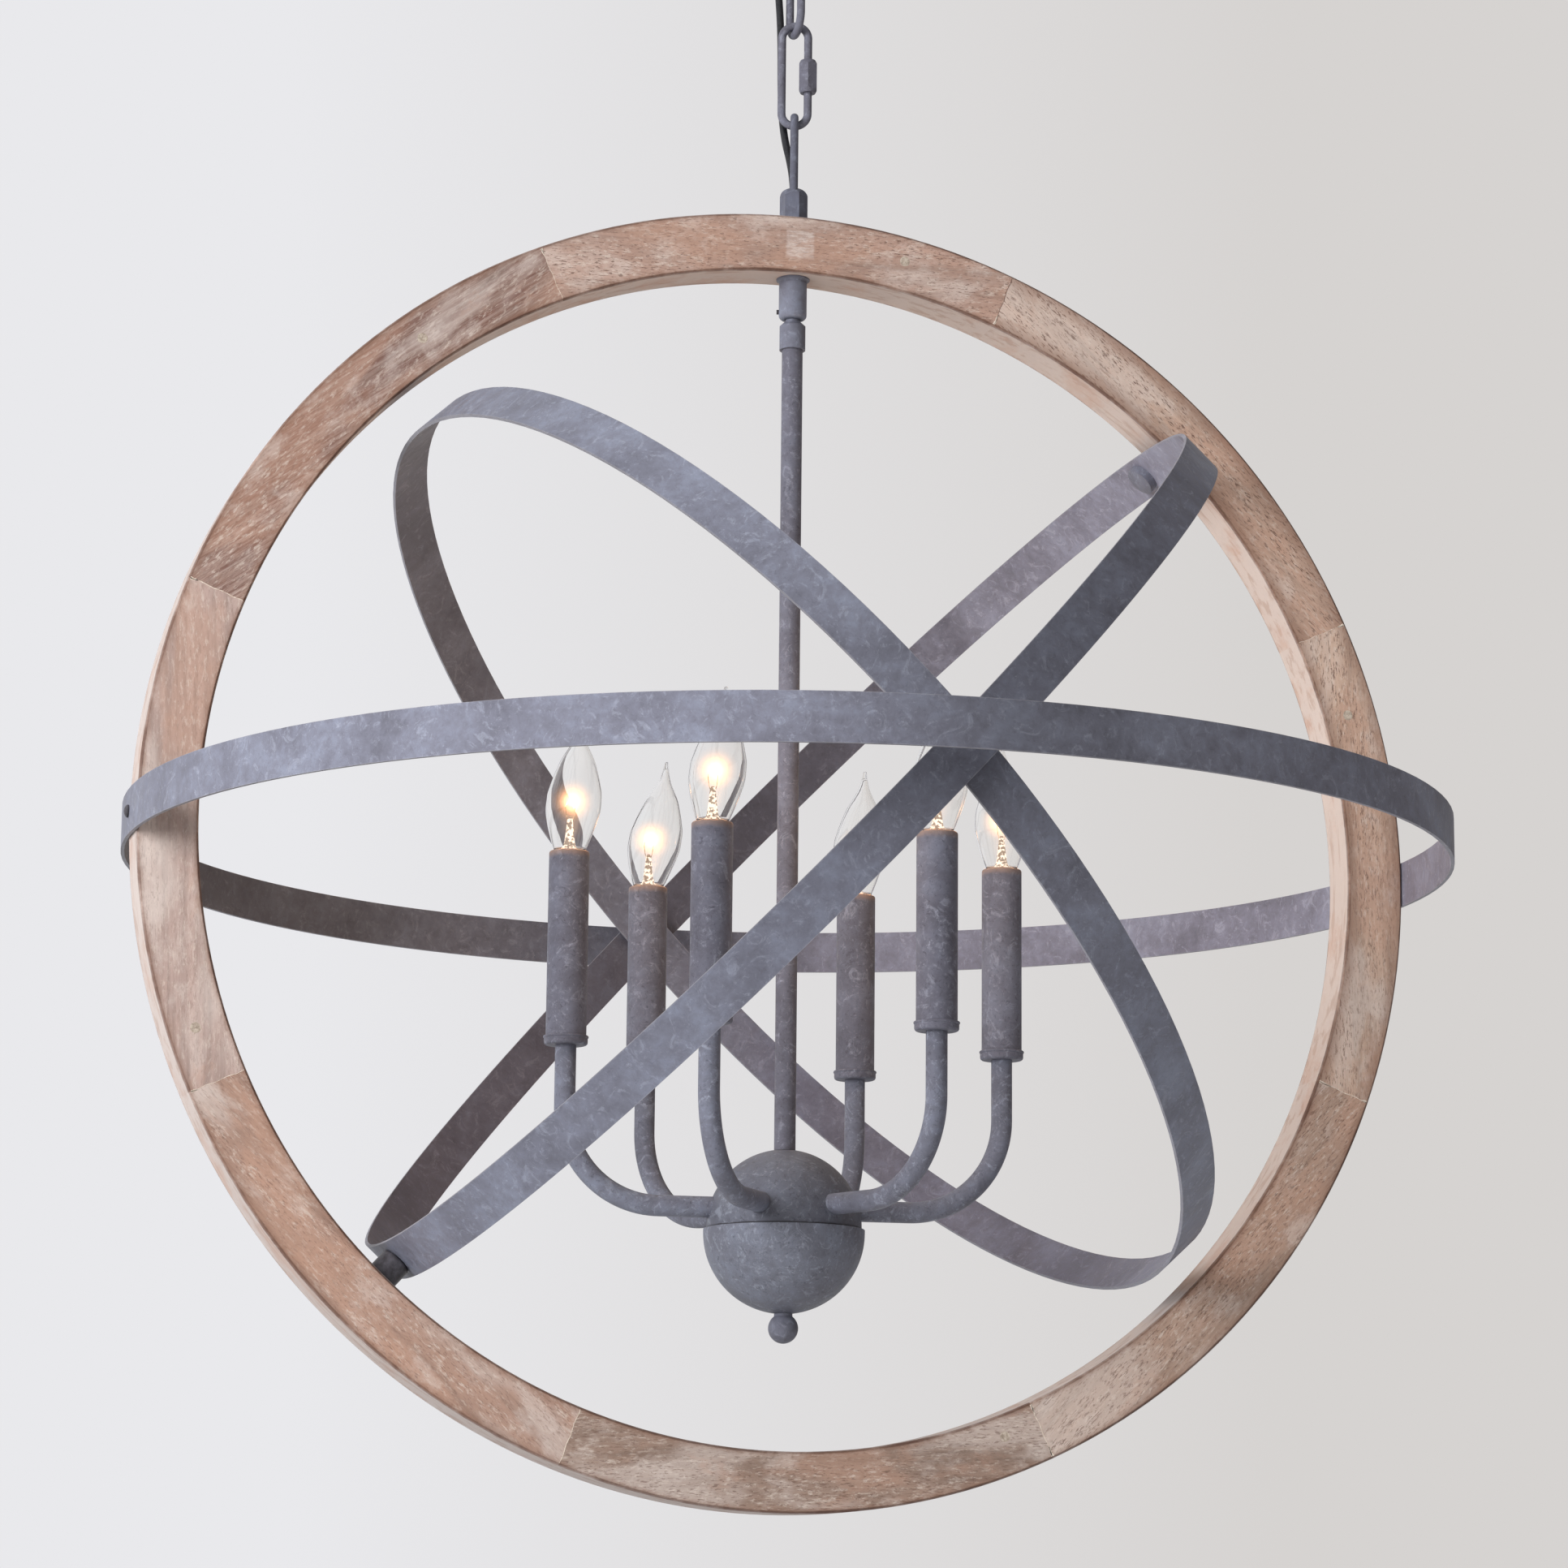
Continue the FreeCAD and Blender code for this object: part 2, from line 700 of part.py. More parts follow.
def finial():
    seat = finialSeat()
    neckZ = seat - finialNeckHeight
    centre = neckZ - math.sqrt(finialRadius ** 2 - finialNeckRadius ** 2)
    bore = nippleRadius + pivotGap
    floor = hubZ - bowlRadius - finialThreadDepth
    return turned([(bore, seat), (finialNeckRadius, seat), (finialNeckRadius, neckZ),
                   ("arc", (finialRadius, centre), (0, centre - finialRadius)), (0, floor), (bore, floor)])


# Arms and candles

def armPath(start):
    bendStart = armReach - armBend
    half = armBend * math.sqrt(0.5)
    edges = [line(Vec(start, 0, armZ), Vec(bendStart, 0, armZ)),
             arc(Vec(bendStart, 0, armZ), Vec(bendStart + half, 0, armZ + armBend - half),
                 Vec(armReach, 0, armZ + armBend)),
             line(Vec(armReach, 0, armZ + armBend), Vec(armReach, 0, cupZ))]
    return edges


def arm(k):
    start = Vec(armInnerRadius, 0, armZ)
    outer = pipe(armPath(armInnerRadius), armRadius, start, axisX)
    inner = pipe(armPath(armInnerRadius), armRadius - armWall, start, axisX)
    return placed(outer.cut(inner), 0, firstArmAngle + k * 360 / armCount)


def armNuts():
    corner = armNutFlats / math.sqrt(3)
    inner = domeRadius - hubWall
    high = math.sqrt(inner ** 2 - (armZ - domeZ + corner) ** 2) - threadGap
    nut = lockNut(high - armNutThick, armRadius + threadGap, armNutFlats, armNutThick)
    nut.rotate(origin, axisY, 90)
    nut.translate(Vec(0, 0, armZ))
    return Part.makeCompound([placed(nut, 0, firstArmAngle + k * 360 / armCount) for k in range(armCount)])


def atCandle(shape, k):
    out = shape.copy()
    out.translate(polar(armReach, firstArmAngle + k * 360 / armCount, 0))
    return out


def candleCups():
    """A shallow turned cup with a rolled lip, on each arm's end."""
    inner = sleeveRadius + cupGap
    outer = inner + cupWall
    high = cupZ + cupHeight
    lip = (outer + lipRadius * 0.6, high - lipRadius)
    cup = turned([(postRadius, cupZ), (outer - 2 * cupWall, cupZ),
                  ("arc", (outer - cupWall * 0.6, cupZ + cupWall * 0.6), (outer, cupZ + 2 * cupWall)),
                  (outer, high - 2 * lipRadius), ("arc", lip, (outer, high)), (inner, high),
                  (inner, sleeveFoot), (postRadius, sleeveFoot)])
    return Part.makeCompound([atCandle(cup, k) for k in range(armCount)])


def candleSleeve(k):
    outer = sleeveRadius
    inner = sleeveRadius - sleeveWall
    bend = sleeveRound * 0.3
    sleeve = turned([(inner, sleeveFoot), (outer, sleeveFoot), (outer, sleeveTop - sleeveRound),
                     ("arc", (outer - bend, sleeveTop - bend), (outer - sleeveRound, sleeveTop)),
                     (inner - sleeveRound, sleeveTop), (inner - sleeveRound, sleeveTop - sleeveWall / 2),
                     ("arc", (inner - bend, sleeveTop - sleeveWall / 2 - bend),
                      (inner, sleeveTop - sleeveWall / 2 - sleeveRound))])
    return atCandle(sleeve, k)


def candleSockets():
    """Lampholder on its post, inside each sleeve."""
    high = socketTop
    low = socketTop - socketHeight
    socket = turned([(0, sleeveFoot), (postRadius + seatThick, sleeveFoot),
                     (postRadius + seatThick, sleeveFoot + seatThick), (postRadius, sleeveFoot + seatThick),
                     (postRadius, low - socketRadius + postRadius), (socketRadius, low), (socketRadius, high),
                     (socketBore, high), (socketBore, socketFloor), (0, socketFloor)])
    return Part.makeCompound([atCandle(socket, k) for k in range(armCount)])


def bulb(k):
    """A bent tip lamp: round sections lofted along a centre line that leans to one side near the tip."""
    foot = sleeveTop - bulbBaseSink
    sections = []
    turn = bulbTurns[k]
    for height, radius, shift in zip(bulbHeightShares, bulbRadiusShares, bulbShiftShares):
        centre = polar(bulbTipShifts[k] * shift, turn, foot + bulbHeight * height)
        sections.append(Part.Wire([Part.makeCircle(bulbRadius * radius, centre, axisZ)]))
    tip = polar(bulbTipShifts[k], turn, foot + bulbHeight)
    sections.append(Part.Wire([Part.makeCircle(bulbTipRadius, tip, axisZ)]))
    glass = Part.makeLoft(sections, True, False)
    base = Part.makeCylinder(bulbBaseRadius, foot - socketFloor - headGap, Vec(0, 0, socketFloor + headGap))
    return atCandle(glass.fuse(base).removeSplitter(), k)


# Power cord, from one loop's wireway round the chain to the other's

cordPoints = [(0.0, 0.0, 8.5), (-0.5, 0.2, 20.0), (-2.5, 0.7, 32.0), (-4.9, 2.2, 42.0), (-6.4, 5.4, 52.0),
              (-7.6, 7.8, 64.0), (-8.2, 8.4, 82.0), (-8.3, 8.7, 102.0), (-8.9, 9.0, 122.0), (-10.4, 8.8, 142.0),
              (-11.4, 8.2, 160.0), (-11.6, 7.0, 174.0), (-10.4, 4.4, 186.5), (-5.9, 0.9, 197.5),
              (-0.8, 0.05, 208.0), (0.0, 0.0, 219.4)]


def cordRoute():
    """The route in the hanger's own directions: across the quick link, behind it, and up from the ring's top."""
    turn = math.radians(hangerTurn)
    across = Vec(math.cos(turn), math.sin(turn), 0)
    behind = Vec(-math.sin(turn), math.cos(turn), 0)
    low = ringTop + collarHeight - cordSeatDepth
    high = -canopyDepth - collarHeight + cordSeatDepth
    route = [across * a + behind * b + Vec(0, 0, low + c - cordPoints[0][2]) for a, b, c in cordPoints]
    route[-1].z = high
    return route


def cordSolid(points, radius):
    """Straight runs joined by tangent arcs, each as large as its two runs allow."""
    edges = []
    last = points[0]
    length = 0.0
    radii = []
    for before, here, after in zip(points, points[1:], points[2:]):
        back = (before - here).normalize()
        on = (after - here).normalize()
        half = back.getAngle(on) / 2
        run = min((before - here).Length, (after - here).Length)
        cut = 0.45 * run
        bend = cut * math.tan(half)
        first = here + back * cut
        second = here + on * cut
        centre = here + (back + on).normalize() * (bend / math.sin(half))
        middle = centre + (here - centre).normalize() * bend
        edges.append(line(last, first))
        edges.append(arc(first, middle, second))
        radii.append(round(bend, 1))
        last = second
    edges.append(line(last, points[-1]))
    wire = Part.Wire(edges)
    ring = Part.Wire([Part.makeCircle(radius, points[0], points[1] - points[0])])
    solid = wire.makePipeShell([ring], True, False)
    expected = math.pi * radius ** 2 * wire.Length
    print("cord length", round(wire.Length, 1), "radii", radii)
    print("cord volume over section times length", round(solid.Volume / expected, 4))
    return solid


def powerCord():
    return cordSolid(cordRoute(), cordRadius)


print("ring centre z", round(ringZ, 3), "quick link end z", round(quickEnd, 3))
ringBores = ringHoles()
parts = {
    "ceiling_crossbar": ceilingCrossbar(), "canopy_nipple": canopyNipple(), "canopy_nut": canopyNut(),
    "canopy": canopy(), "canopy_loop": canopyLoop(),
    "chain_link_1": chainLinkOne(), "chain_link_2": chainLinkTwo(),
    "quick_link": quickLink(), "quick_link_nut": quickLinkNut(),
    "top_loop": topLoop(), "frame_nipple": frameNipple(), "wood_plugs": woodPlugs(),
    "swivel_cap": swivelCap(), "swivel_housing": swivelHousing(), "swivel_set_screw": setScrewForm(0),
    "band_bolts": bandBolts(), "band_spacers": bandSpacers(), "equator_screws": equatorScrews(),
    "power_cord": powerCord(),
    "equator_band": equatorBand(),
    "outer_band": outerBand(), "pivot_rivets": pivotRivets(), "pivot_washers": pivotWashers(),
    "inner_band": innerBand(),
    "swivel_stem": swivelStem(), "down_rod": downRod(), "hub_dome": hubDome(), "hub_bowl": hubBowl(),
    "hub_nipple": hubNipple(), "hub_lock_nuts": hubLockNuts(), "arm_nuts": armNuts(),
    "candle_cups": candleCups(), "candle_sockets": candleSockets(),
    "finial": finial(),
}
for k in range(segmentCount):
    parts["wood_segment_" + str(k + 1)] = woodSegment(k, ringBores)
for k in range(armCount):
    number = str(k + 1)
    parts["arm_" + number] = arm(k)
    parts["candle_sleeve_" + number] = candleSleeve(k)
    parts["bulb_" + number] = bulb(k)

os.makedirs("parts", exist_ok=True)
for name, shape in parts.items():
    solids = shape.Solids
    good = shape.isValid() and all(solid.Volume > 0 for solid in solids)
    print(name, len(solids), "valid" if good else "INVALID", round(shape.Volume, 1))
    if len(solids) == 1:
        shape = solids[0]
    shape.exportStep("parts/" + name + ".step")
print(len(parts), "nodes")
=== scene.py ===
import math
import random

import bmesh
import bpy
import numpy as np
from mathutils import Matrix, Vector


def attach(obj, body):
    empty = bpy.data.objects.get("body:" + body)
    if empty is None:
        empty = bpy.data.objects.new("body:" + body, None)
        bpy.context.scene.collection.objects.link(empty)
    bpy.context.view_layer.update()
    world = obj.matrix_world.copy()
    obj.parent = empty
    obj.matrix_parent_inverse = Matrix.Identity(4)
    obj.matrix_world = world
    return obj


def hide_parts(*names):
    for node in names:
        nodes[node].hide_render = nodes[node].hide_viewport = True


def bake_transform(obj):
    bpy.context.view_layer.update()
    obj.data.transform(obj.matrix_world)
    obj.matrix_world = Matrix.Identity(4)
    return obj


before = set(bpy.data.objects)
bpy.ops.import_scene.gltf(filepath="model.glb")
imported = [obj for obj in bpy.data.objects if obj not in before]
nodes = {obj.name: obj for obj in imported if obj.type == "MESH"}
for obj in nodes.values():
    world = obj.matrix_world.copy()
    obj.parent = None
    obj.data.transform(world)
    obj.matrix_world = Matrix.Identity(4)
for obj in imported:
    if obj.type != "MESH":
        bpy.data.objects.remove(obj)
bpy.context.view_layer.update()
print("frame loaded")

# Places shared by several pieces, in metres. The ring stands in the XZ plane, round this centre.
ringCentre = Vector((0, 0, -0.6457))
sleeveTop = -0.6513
# Where most of a noise's values lie
noiseReach = (0.3, 0.7)


def addObject(name, data):
    obj = bpy.data.objects.new(name, data)
    bpy.context.scene.collection.objects.link(obj)
    return obj


camera = {
    "place": (-0.71660, -2.45031, -1.10242),
    "right": (0.95950416, -0.28153586, 0.00945179),
    "up": (-0.06260767, -0.18041926, 0.98159522),
    "forward": (0.27464897, 0.94243644, 0.19073934),
    "lens": 103.74,
    "sensorWidth": 36,
    "clipStart": 0.05,
    "clipEnd": 60,
}


def addCamera():
    data = bpy.data.cameras.new("camera")
    data.sensor_width = camera["sensorWidth"]
    data.lens = camera["lens"]
    data.clip_start = camera["clipStart"]
    data.clip_end = camera["clipEnd"]
    obj = addObject("camera", data)
    columns = [camera["right"], camera["up"], [-v for v in camera["forward"]]]
    obj.matrix_world = Matrix.Translation(camera["place"]) @ Matrix(columns).transposed().to_4x4()
    bpy.context.scene.camera = obj


addCamera()


def linear(red, green, blue):
    # 0 to 255 screen colour to the linear colour that nodes take
    out = []
    for v in (red, green, blue):
        v = v / 255
        out.append(v / 12.92 if v <= 0.04045 else ((v + 0.055) / 1.055) ** 2.4)
    return (*out, 1.0)


def feed(tree, socket, value):
    # A node's output is linked, and anything else becomes the input's own value
    if isinstance(value, bpy.types.NodeSocket):
        tree.links.new(value, socket)
    else:
        socket.default_value = value


def addNode(tree, kind, inputs=None, **settings):
    node = tree.nodes.new(kind)
    for key, value in settings.items():
        setattr(node, key, value)
    for key, value in (inputs or {}).items():
        feed(tree, node.inputs[key], value)
    return node


def emptyMaterial(name):
    mat = bpy.data.materials.new(name)
    mat.use_nodes = True
    tree = mat.node_tree
    tree.nodes.clear()
    return mat, tree, addNode(tree, "ShaderNodeOutputMaterial")


def newMaterial(name):
    mat, tree, out = emptyMaterial(name)
    shader = addNode(tree, "ShaderNodeBsdfPrincipled")
    feed(tree, out.inputs["Surface"], shader.outputs[0])
    return mat, tree, shader


def maths(tree, operation, a, b=0.0, c=0.0, clamp=False):
    inputs = {0: a, 1: b, 2: c}
    return addNode(tree, "ShaderNodeMath", inputs, operation=operation, use_clamp=clamp).outputs[0]


def weightedSum(tree, a, b, shares):
    parts = [maths(tree, "MULTIPLY", value, share) for value, share in zip((a, b), shares)]
    return maths(tree, "ADD", *parts)


def roughened(tree, value, grain, amount):
    # Value plus a share of a noise, so that a line drawn at it wanders
    return maths(tree, "ADD", value, maths(tree, "MULTIPLY", grain, amount))


def vectorMaths(tree, operation, a, b=(0, 0, 0)):
    node = addNode(tree, "ShaderNodeVectorMath", {0: a, 1: b}, operation=operation)
    return node.outputs["Value" if operation in ("DOT_PRODUCT", "LENGTH") else "Vector"]


def splitParts(tree, vector):
    return addNode(tree, "ShaderNodeSeparateXYZ", {0: vector}).outputs


def rampBetween(tree, value, low, high, first=0.0, last=1.0):
    inputs = {0: value, 1: low, 2: high, 3: first, 4: last}
    return addNode(tree, "ShaderNodeMapRange", inputs, interpolation_type="SMOOTHSTEP").outputs[0]


def colourRamp(tree, value, stops):
    node = addNode(tree, "ShaderNodeValToRGB", {0: value})
    marks = node.color_ramp.elements
    while len(marks) < len(stops):
        marks.new(0.5)
    for mark, (place, colour) in zip(marks, stops):
        mark.position = place
        mark.color = colour
    return node.outputs[0]


def blendColour(tree, share, under, over, mode="MIX"):
    inputs = {0: share, 6: under, 7: over}
    return addNode(tree, "ShaderNodeMix", inputs, data_type="RGBA", blend_type=mode).outputs[2]


def mixShaders(tree, share, under, over):
    return addNode(tree, "ShaderNodeMixShader", {0: share, 1: under, 2: over}).outputs[0]


def noise(tree, vector, scale, detail, rough, warp=0.0):
    inputs = {"Vector": vector, "Scale": scale, "Detail": detail, "Roughness": rough, "Distortion": warp}
    return addNode(tree, "ShaderNodeTexNoise", inputs).outputs[0]


def bump(tree, shader, height, strength, distance):
    node = addNode(tree, "ShaderNodeBump", {"Height": height, "Strength": strength, "Distance": distance})
    feed(tree, shader.inputs["Normal"], node.outputs[0])


def shiftedCoords(tree, shift):
    coords = addNode(tree, "ShaderNodeTexCoord").outputs
    mapping = addNode(tree, "ShaderNodeMapping", {"Vector": coords["Object"], "Location": shift})
    return coords, mapping.outputs[0]


def planeDirection(degrees):
    # A direction in the ring's plane, from +X towards +Z
    angle = math.radians(degrees)
    return math.cos(angle), 0, math.sin(angle)


# Blue-grey mottled paint over steel: the canopy, chain, bands, rod, hub, arms, cups and candle sleeves
paint = {
    "dark": linear(96, 95, 103),
    "middle": linear(114, 114, 124),
    "light": linear(131, 134, 146),
    "bloom": linear(158, 161, 171),
    "fleck": linear(186, 190, 200),
    "pit": linear(66, 63, 70),
    # Painted highlight on the bands' cut edges
    "edgeHighlight": linear(148, 146, 150),
    # Painted shadow in the gap between the hub's dome and bowl
    "gapShadow": linear(40, 37, 40),
    # Painted lamplight at the tops of the candle sleeves
    "sleeveLamplight": linear(150, 122, 104),
    "tints": {
        "equator_band": (1.08, 1.09, 1.14, 1.0),
        "outer_band": (1.14, 1.16, 1.23, 1.0),
        "inner_band": (1.04, 1.06, 1.11, 1.0),
        "hub_dome": (0.66, 0.68, 0.70, 1.0),
        "hub_bowl": (0.80, 0.82, 0.84, 1.0),
        "top_loop": (0.60, 0.61, 0.66, 1.0),
    },
    "warmTint": (0.72, 0.70, 0.73, 1.0),
    "coolTint": (0.82, 0.83, 0.87, 1.0),
    "warmNames": ("candle_", "down_", "chain_", "quick_"),
    "markedNames": ("arm_", "hub_"),
    "manyMarks": 0.5,
    "fewMarks": 0.22,
    # Scale, detail, roughness and warp of each noise
    "mottle": (24.0, 4.0, 0.55, 0.5),
    "speckle": (150.0, 6.0, 0.65, 0.4),
    "veins": (74.0, 8.0, 0.74, 2.2),
    "scuffs": (330.0, 5.0, 0.7, 1.4),
    "grain": (900.0, 3.0, 0.6),
    # How much of a first and a second noise goes into their sum
    "baseShares": (0.55, 0.45),
    "bumpShares": (0.7, 0.3),
    "baseStops": (0.34, 0.50, 0.66),
    # Where each kind of mark starts and ends in its noise
    "bloomSpread": (0.53, 0.64),
    "scuffSpread": (0.56, 0.68),
    "pitSpread": (0.34, 0.44),
    "gatherSpread": (0.42, 0.62, 0.25, 1.0),
    "leastBloom": 0.18,
    "bloomByMarks": 0.85,
    # How far from the ring's centre a band's shades reach, and how much they wander
    "bandReach": 0.33,
    "insideReach": 0.35,
    "insideTurn": 0.1,
    "drift": 0.12,
    # The painted highlight on a band's cut edges: where it starts and ends past half the width, how it
    # wanders, its strength
    "edgeHighlightFrom": -0.0001,
    "edgeHighlightTo": 0.0004,
    "edgeHighlightWander": 0.0008,
    "edgeHighlightShare": 0.45,
    # The painted shadow in the gap under the hub's dome: its node, height, depth, wander and strength
    "seamNode": "hub_dome",
    "seamAt": -0.8629,
    "seamHeight": 0.0007,
    "seamWander": -0.0012,
    "seamShare": 0.9,
    # The painted lamplight on the candle sleeves: where it starts and ends about the sleeve's top, how it
    # wanders, its strength
    "sleeveLamplightFrom": -0.0030,
    "sleeveLamplightTo": 0.0012,
    "sleeveLamplightWander": 0.004,
    "sleeveLamplightShare": 0.6,
    "metallic": 0.1,
    "roughness": (0.44, 0.62),
    "bump": (0.22, 0.0005),
}

# Each band: the angle of its length in the ring's plane, half its width, its painted shade and light along
# that length, and how brown and dark its inner face is painted from left to right, a painted reflection of
# the room's dim warm side
bands = {
    "equator_band": {
        "angle": 0,
        "halfWidth": 0.013,
        "shades": [(0.0, 0.92), (0.25, 0.98), (0.42, 0.70), (0.52, 0.54), (0.65, 0.62), (0.80, 0.82),
                   (1.0, 0.92)],
        "inside": [(0.15, (0.73, 0.66, 0.58)), (0.45, (0.92, 0.86, 0.82)), (0.7, (1.16, 1.10, 1.10))],
    },
    "outer_band": {
        "angle": 47.5,
        "halfWidth": 0.0127,
        "shades": [(0.0, 0.76), (0.25, 0.64), (0.5, 0.55), (0.72, 0.54), (0.85, 0.64), (0.94, 0.90),
                   (1.0, 1.0)],
        "inside": [(0.25, (0.98, 0.88, 0.86)), (0.6, (0.62, 0.55, 0.53)), (0.77, (0.60, 0.55, 0.55)),
                   (0.87, (1.08, 1.04, 1.04))],
    },
    "inner_band": {
        "angle": 132.8,
        "halfWidth": 0.0127,
        "shades": [(0.0, 1.0), (0.25, 0.86), (0.5, 0.76), (0.65, 0.82), (0.8, 0.96), (1.0, 0.94)],
        "inside": [(0.25, (0.84, 0.77, 0.71)), (0.5, (1.0, 0.97, 0.96)), (0.68, (0.82, 0.77, 0.80))],
    },
}


def bandPaint(tree, coords, band, colour, large, small):
    fromCentre = vectorMaths(tree, "SUBTRACT", coords["Object"], ringCentre)
    drift = maths(tree, "MULTIPLY", maths(tree, "SUBTRACT", large, 0.5), paint["drift"])
    # Painted shade and light: it is darker in the middle of its length than at the ends, as the light falls
    # along it
    length = vectorMaths(tree, "DOT_PRODUCT", fromCentre, planeDirection(band["angle"]))
    spot = maths(tree, "ADD", rampBetween(tree, length, -paint["bandReach"], paint["bandReach"]), drift)
    paintedShade = colourRamp(tree, spot, [(at, (v, v, v, 1.0)) for at, v in band["shades"]])
    colour = blendColour(tree, 1.0, colour, paintedShade, "MULTIPLY")
    # Painted reflection of the room's dim warm side: its inner face is browner and darker, most of all on the
    # left
    facing = vectorMaths(tree, "DOT_PRODUCT", coords["Normal"], fromCentre)
    inside = rampBetween(tree, facing, -paint["insideTurn"], paint["insideTurn"], 1.0, 0.0)
    across = rampBetween(tree, splitParts(tree, fromCentre)[0], -paint["insideReach"], paint["insideReach"])
    sideways = maths(tree, "ADD", across, drift)
    paintedInsideShade = colourRamp(tree, sideways, [(at, (*rgb, 1.0)) for at, rgb in band["inside"]])
    colour = blendColour(tree, inside, colour, paintedInsideShade, "MULTIPLY")
    # Painted highlight: a pale line along its cut edges, where their thin edge faces catch the light
    level = vectorMaths(tree, "DOT_PRODUCT", fromCentre, planeDirection(band["angle"] + 90))
    reach = roughened(tree, maths(tree, "ABSOLUTE", level), small, paint["edgeHighlightWander"])
    start = band["halfWidth"] + paint["edgeHighlightFrom"]
    end = band["halfWidth"] + paint["edgeHighlightTo"]
    edgeHighlight = rampBetween(tree, reach, start, end, 0.0, paint["edgeHighlightShare"])
    return blendColour(tree, edgeHighlight, colour, paint["edgeHighlight"])


def paintedMetal(nodeName, shift):
    mat, tree, shader = newMaterial("paint_" + nodeName)
    warm = nodeName.startswith(paint["warmNames"])
    marked = warm or nodeName.startswith(paint["markedNames"])
    marks = paint["manyMarks" if marked else "fewMarks"]
    coords, place = shiftedCoords(tree, shift)
    large = noise(tree, place, *paint["mottle"])
    small = noise(tree, place, *paint["speckle"])
    base = weightedSum(tree, large, small, paint["baseShares"])
    tones = (paint["dark"], paint["middle"], paint["light"])
    colour = colourRamp(tree, base, list(zip(paint["baseStops"], tones)))
    # Pale curling marks of dried zinc dust, strongest on the chain, rod, hub, arms and candle sleeves
    veins = noise(tree, place, *paint["veins"])
    most = paint["leastBloom"] + paint["bloomByMarks"] * marks
    bloom = rampBetween(tree, veins, *paint["bloomSpread"], 0.0, most)
    colour = blendColour(tree, bloom, colour, paint["bloom"])
    # Fine pale scuffs, gathered where the veins are, and dark pits
    scuffs = noise(tree, place, *paint["scuffs"])
    gathered = rampBetween(tree, veins, *paint["gatherSpread"])
    scuffed = rampBetween(tree, scuffs, *paint["scuffSpread"], 0.0, marks)
    colour = blendColour(tree, maths(tree, "MULTIPLY", scuffed, gathered), colour, paint["fleck"])
    pitted = rampBetween(tree, scuffs, *paint["pitSpread"], marks, 0.0)
    colour = blendColour(tree, pitted, colour, paint["pit"])
    tint = paint["tints"].get(nodeName, paint["warmTint" if warm else "coolTint"])
    colour = blendColour(tree, 1.0, colour, tint, "MULTIPLY")
    if nodeName in bands:
        colour = bandPaint(tree, coords, bands[nodeName], colour, large, small)
    if nodeName == paint["seamNode"]:
        # Painted shadow: a dark line where the dome drops into the bowl's lip, for the shade in the narrow
        # gap
        rise = roughened(tree, splitParts(tree, coords["Object"])[2], small, paint["seamWander"])
        low = paint["seamAt"]
        gapShadow = rampBetween(tree, rise, low, low + paint["seamHeight"], paint["seamShare"], 0.0)
        colour = blendColour(tree, gapShadow, colour, paint["gapShadow"])
    if nodeName.startswith("candle_sleeve"):
        # Painted lamplight: a warm brown band round the top of the sleeve, under the lit lamp
        rise = roughened(tree, splitParts(tree, coords["Object"])[2], small, paint["sleeveLamplightWander"])
        low = sleeveTop + paint["sleeveLamplightFrom"]
        high = sleeveTop + paint["sleeveLamplightTo"]
        sleeveLamplight = rampBetween(tree, rise, low, high, 0.0, paint["sleeveLamplightShare"])
        colour = blendColour(tree, sleeveLamplight, colour, paint["sleeveLamplight"])
    feed(tree, shader.inputs["Base Color"], colour)
    shader.inputs["Metallic"].default_value = paint["metallic"]
    feed(tree, shader.inputs["Roughness"], rampBetween(tree, small, *noiseReach, *paint["roughness"]))
    grain = noise(tree, place, *paint["grain"])
    bump(tree, shader, weightedSum(tree, small, grain, paint["bumpShares"]), *paint["bump"])
    return mat


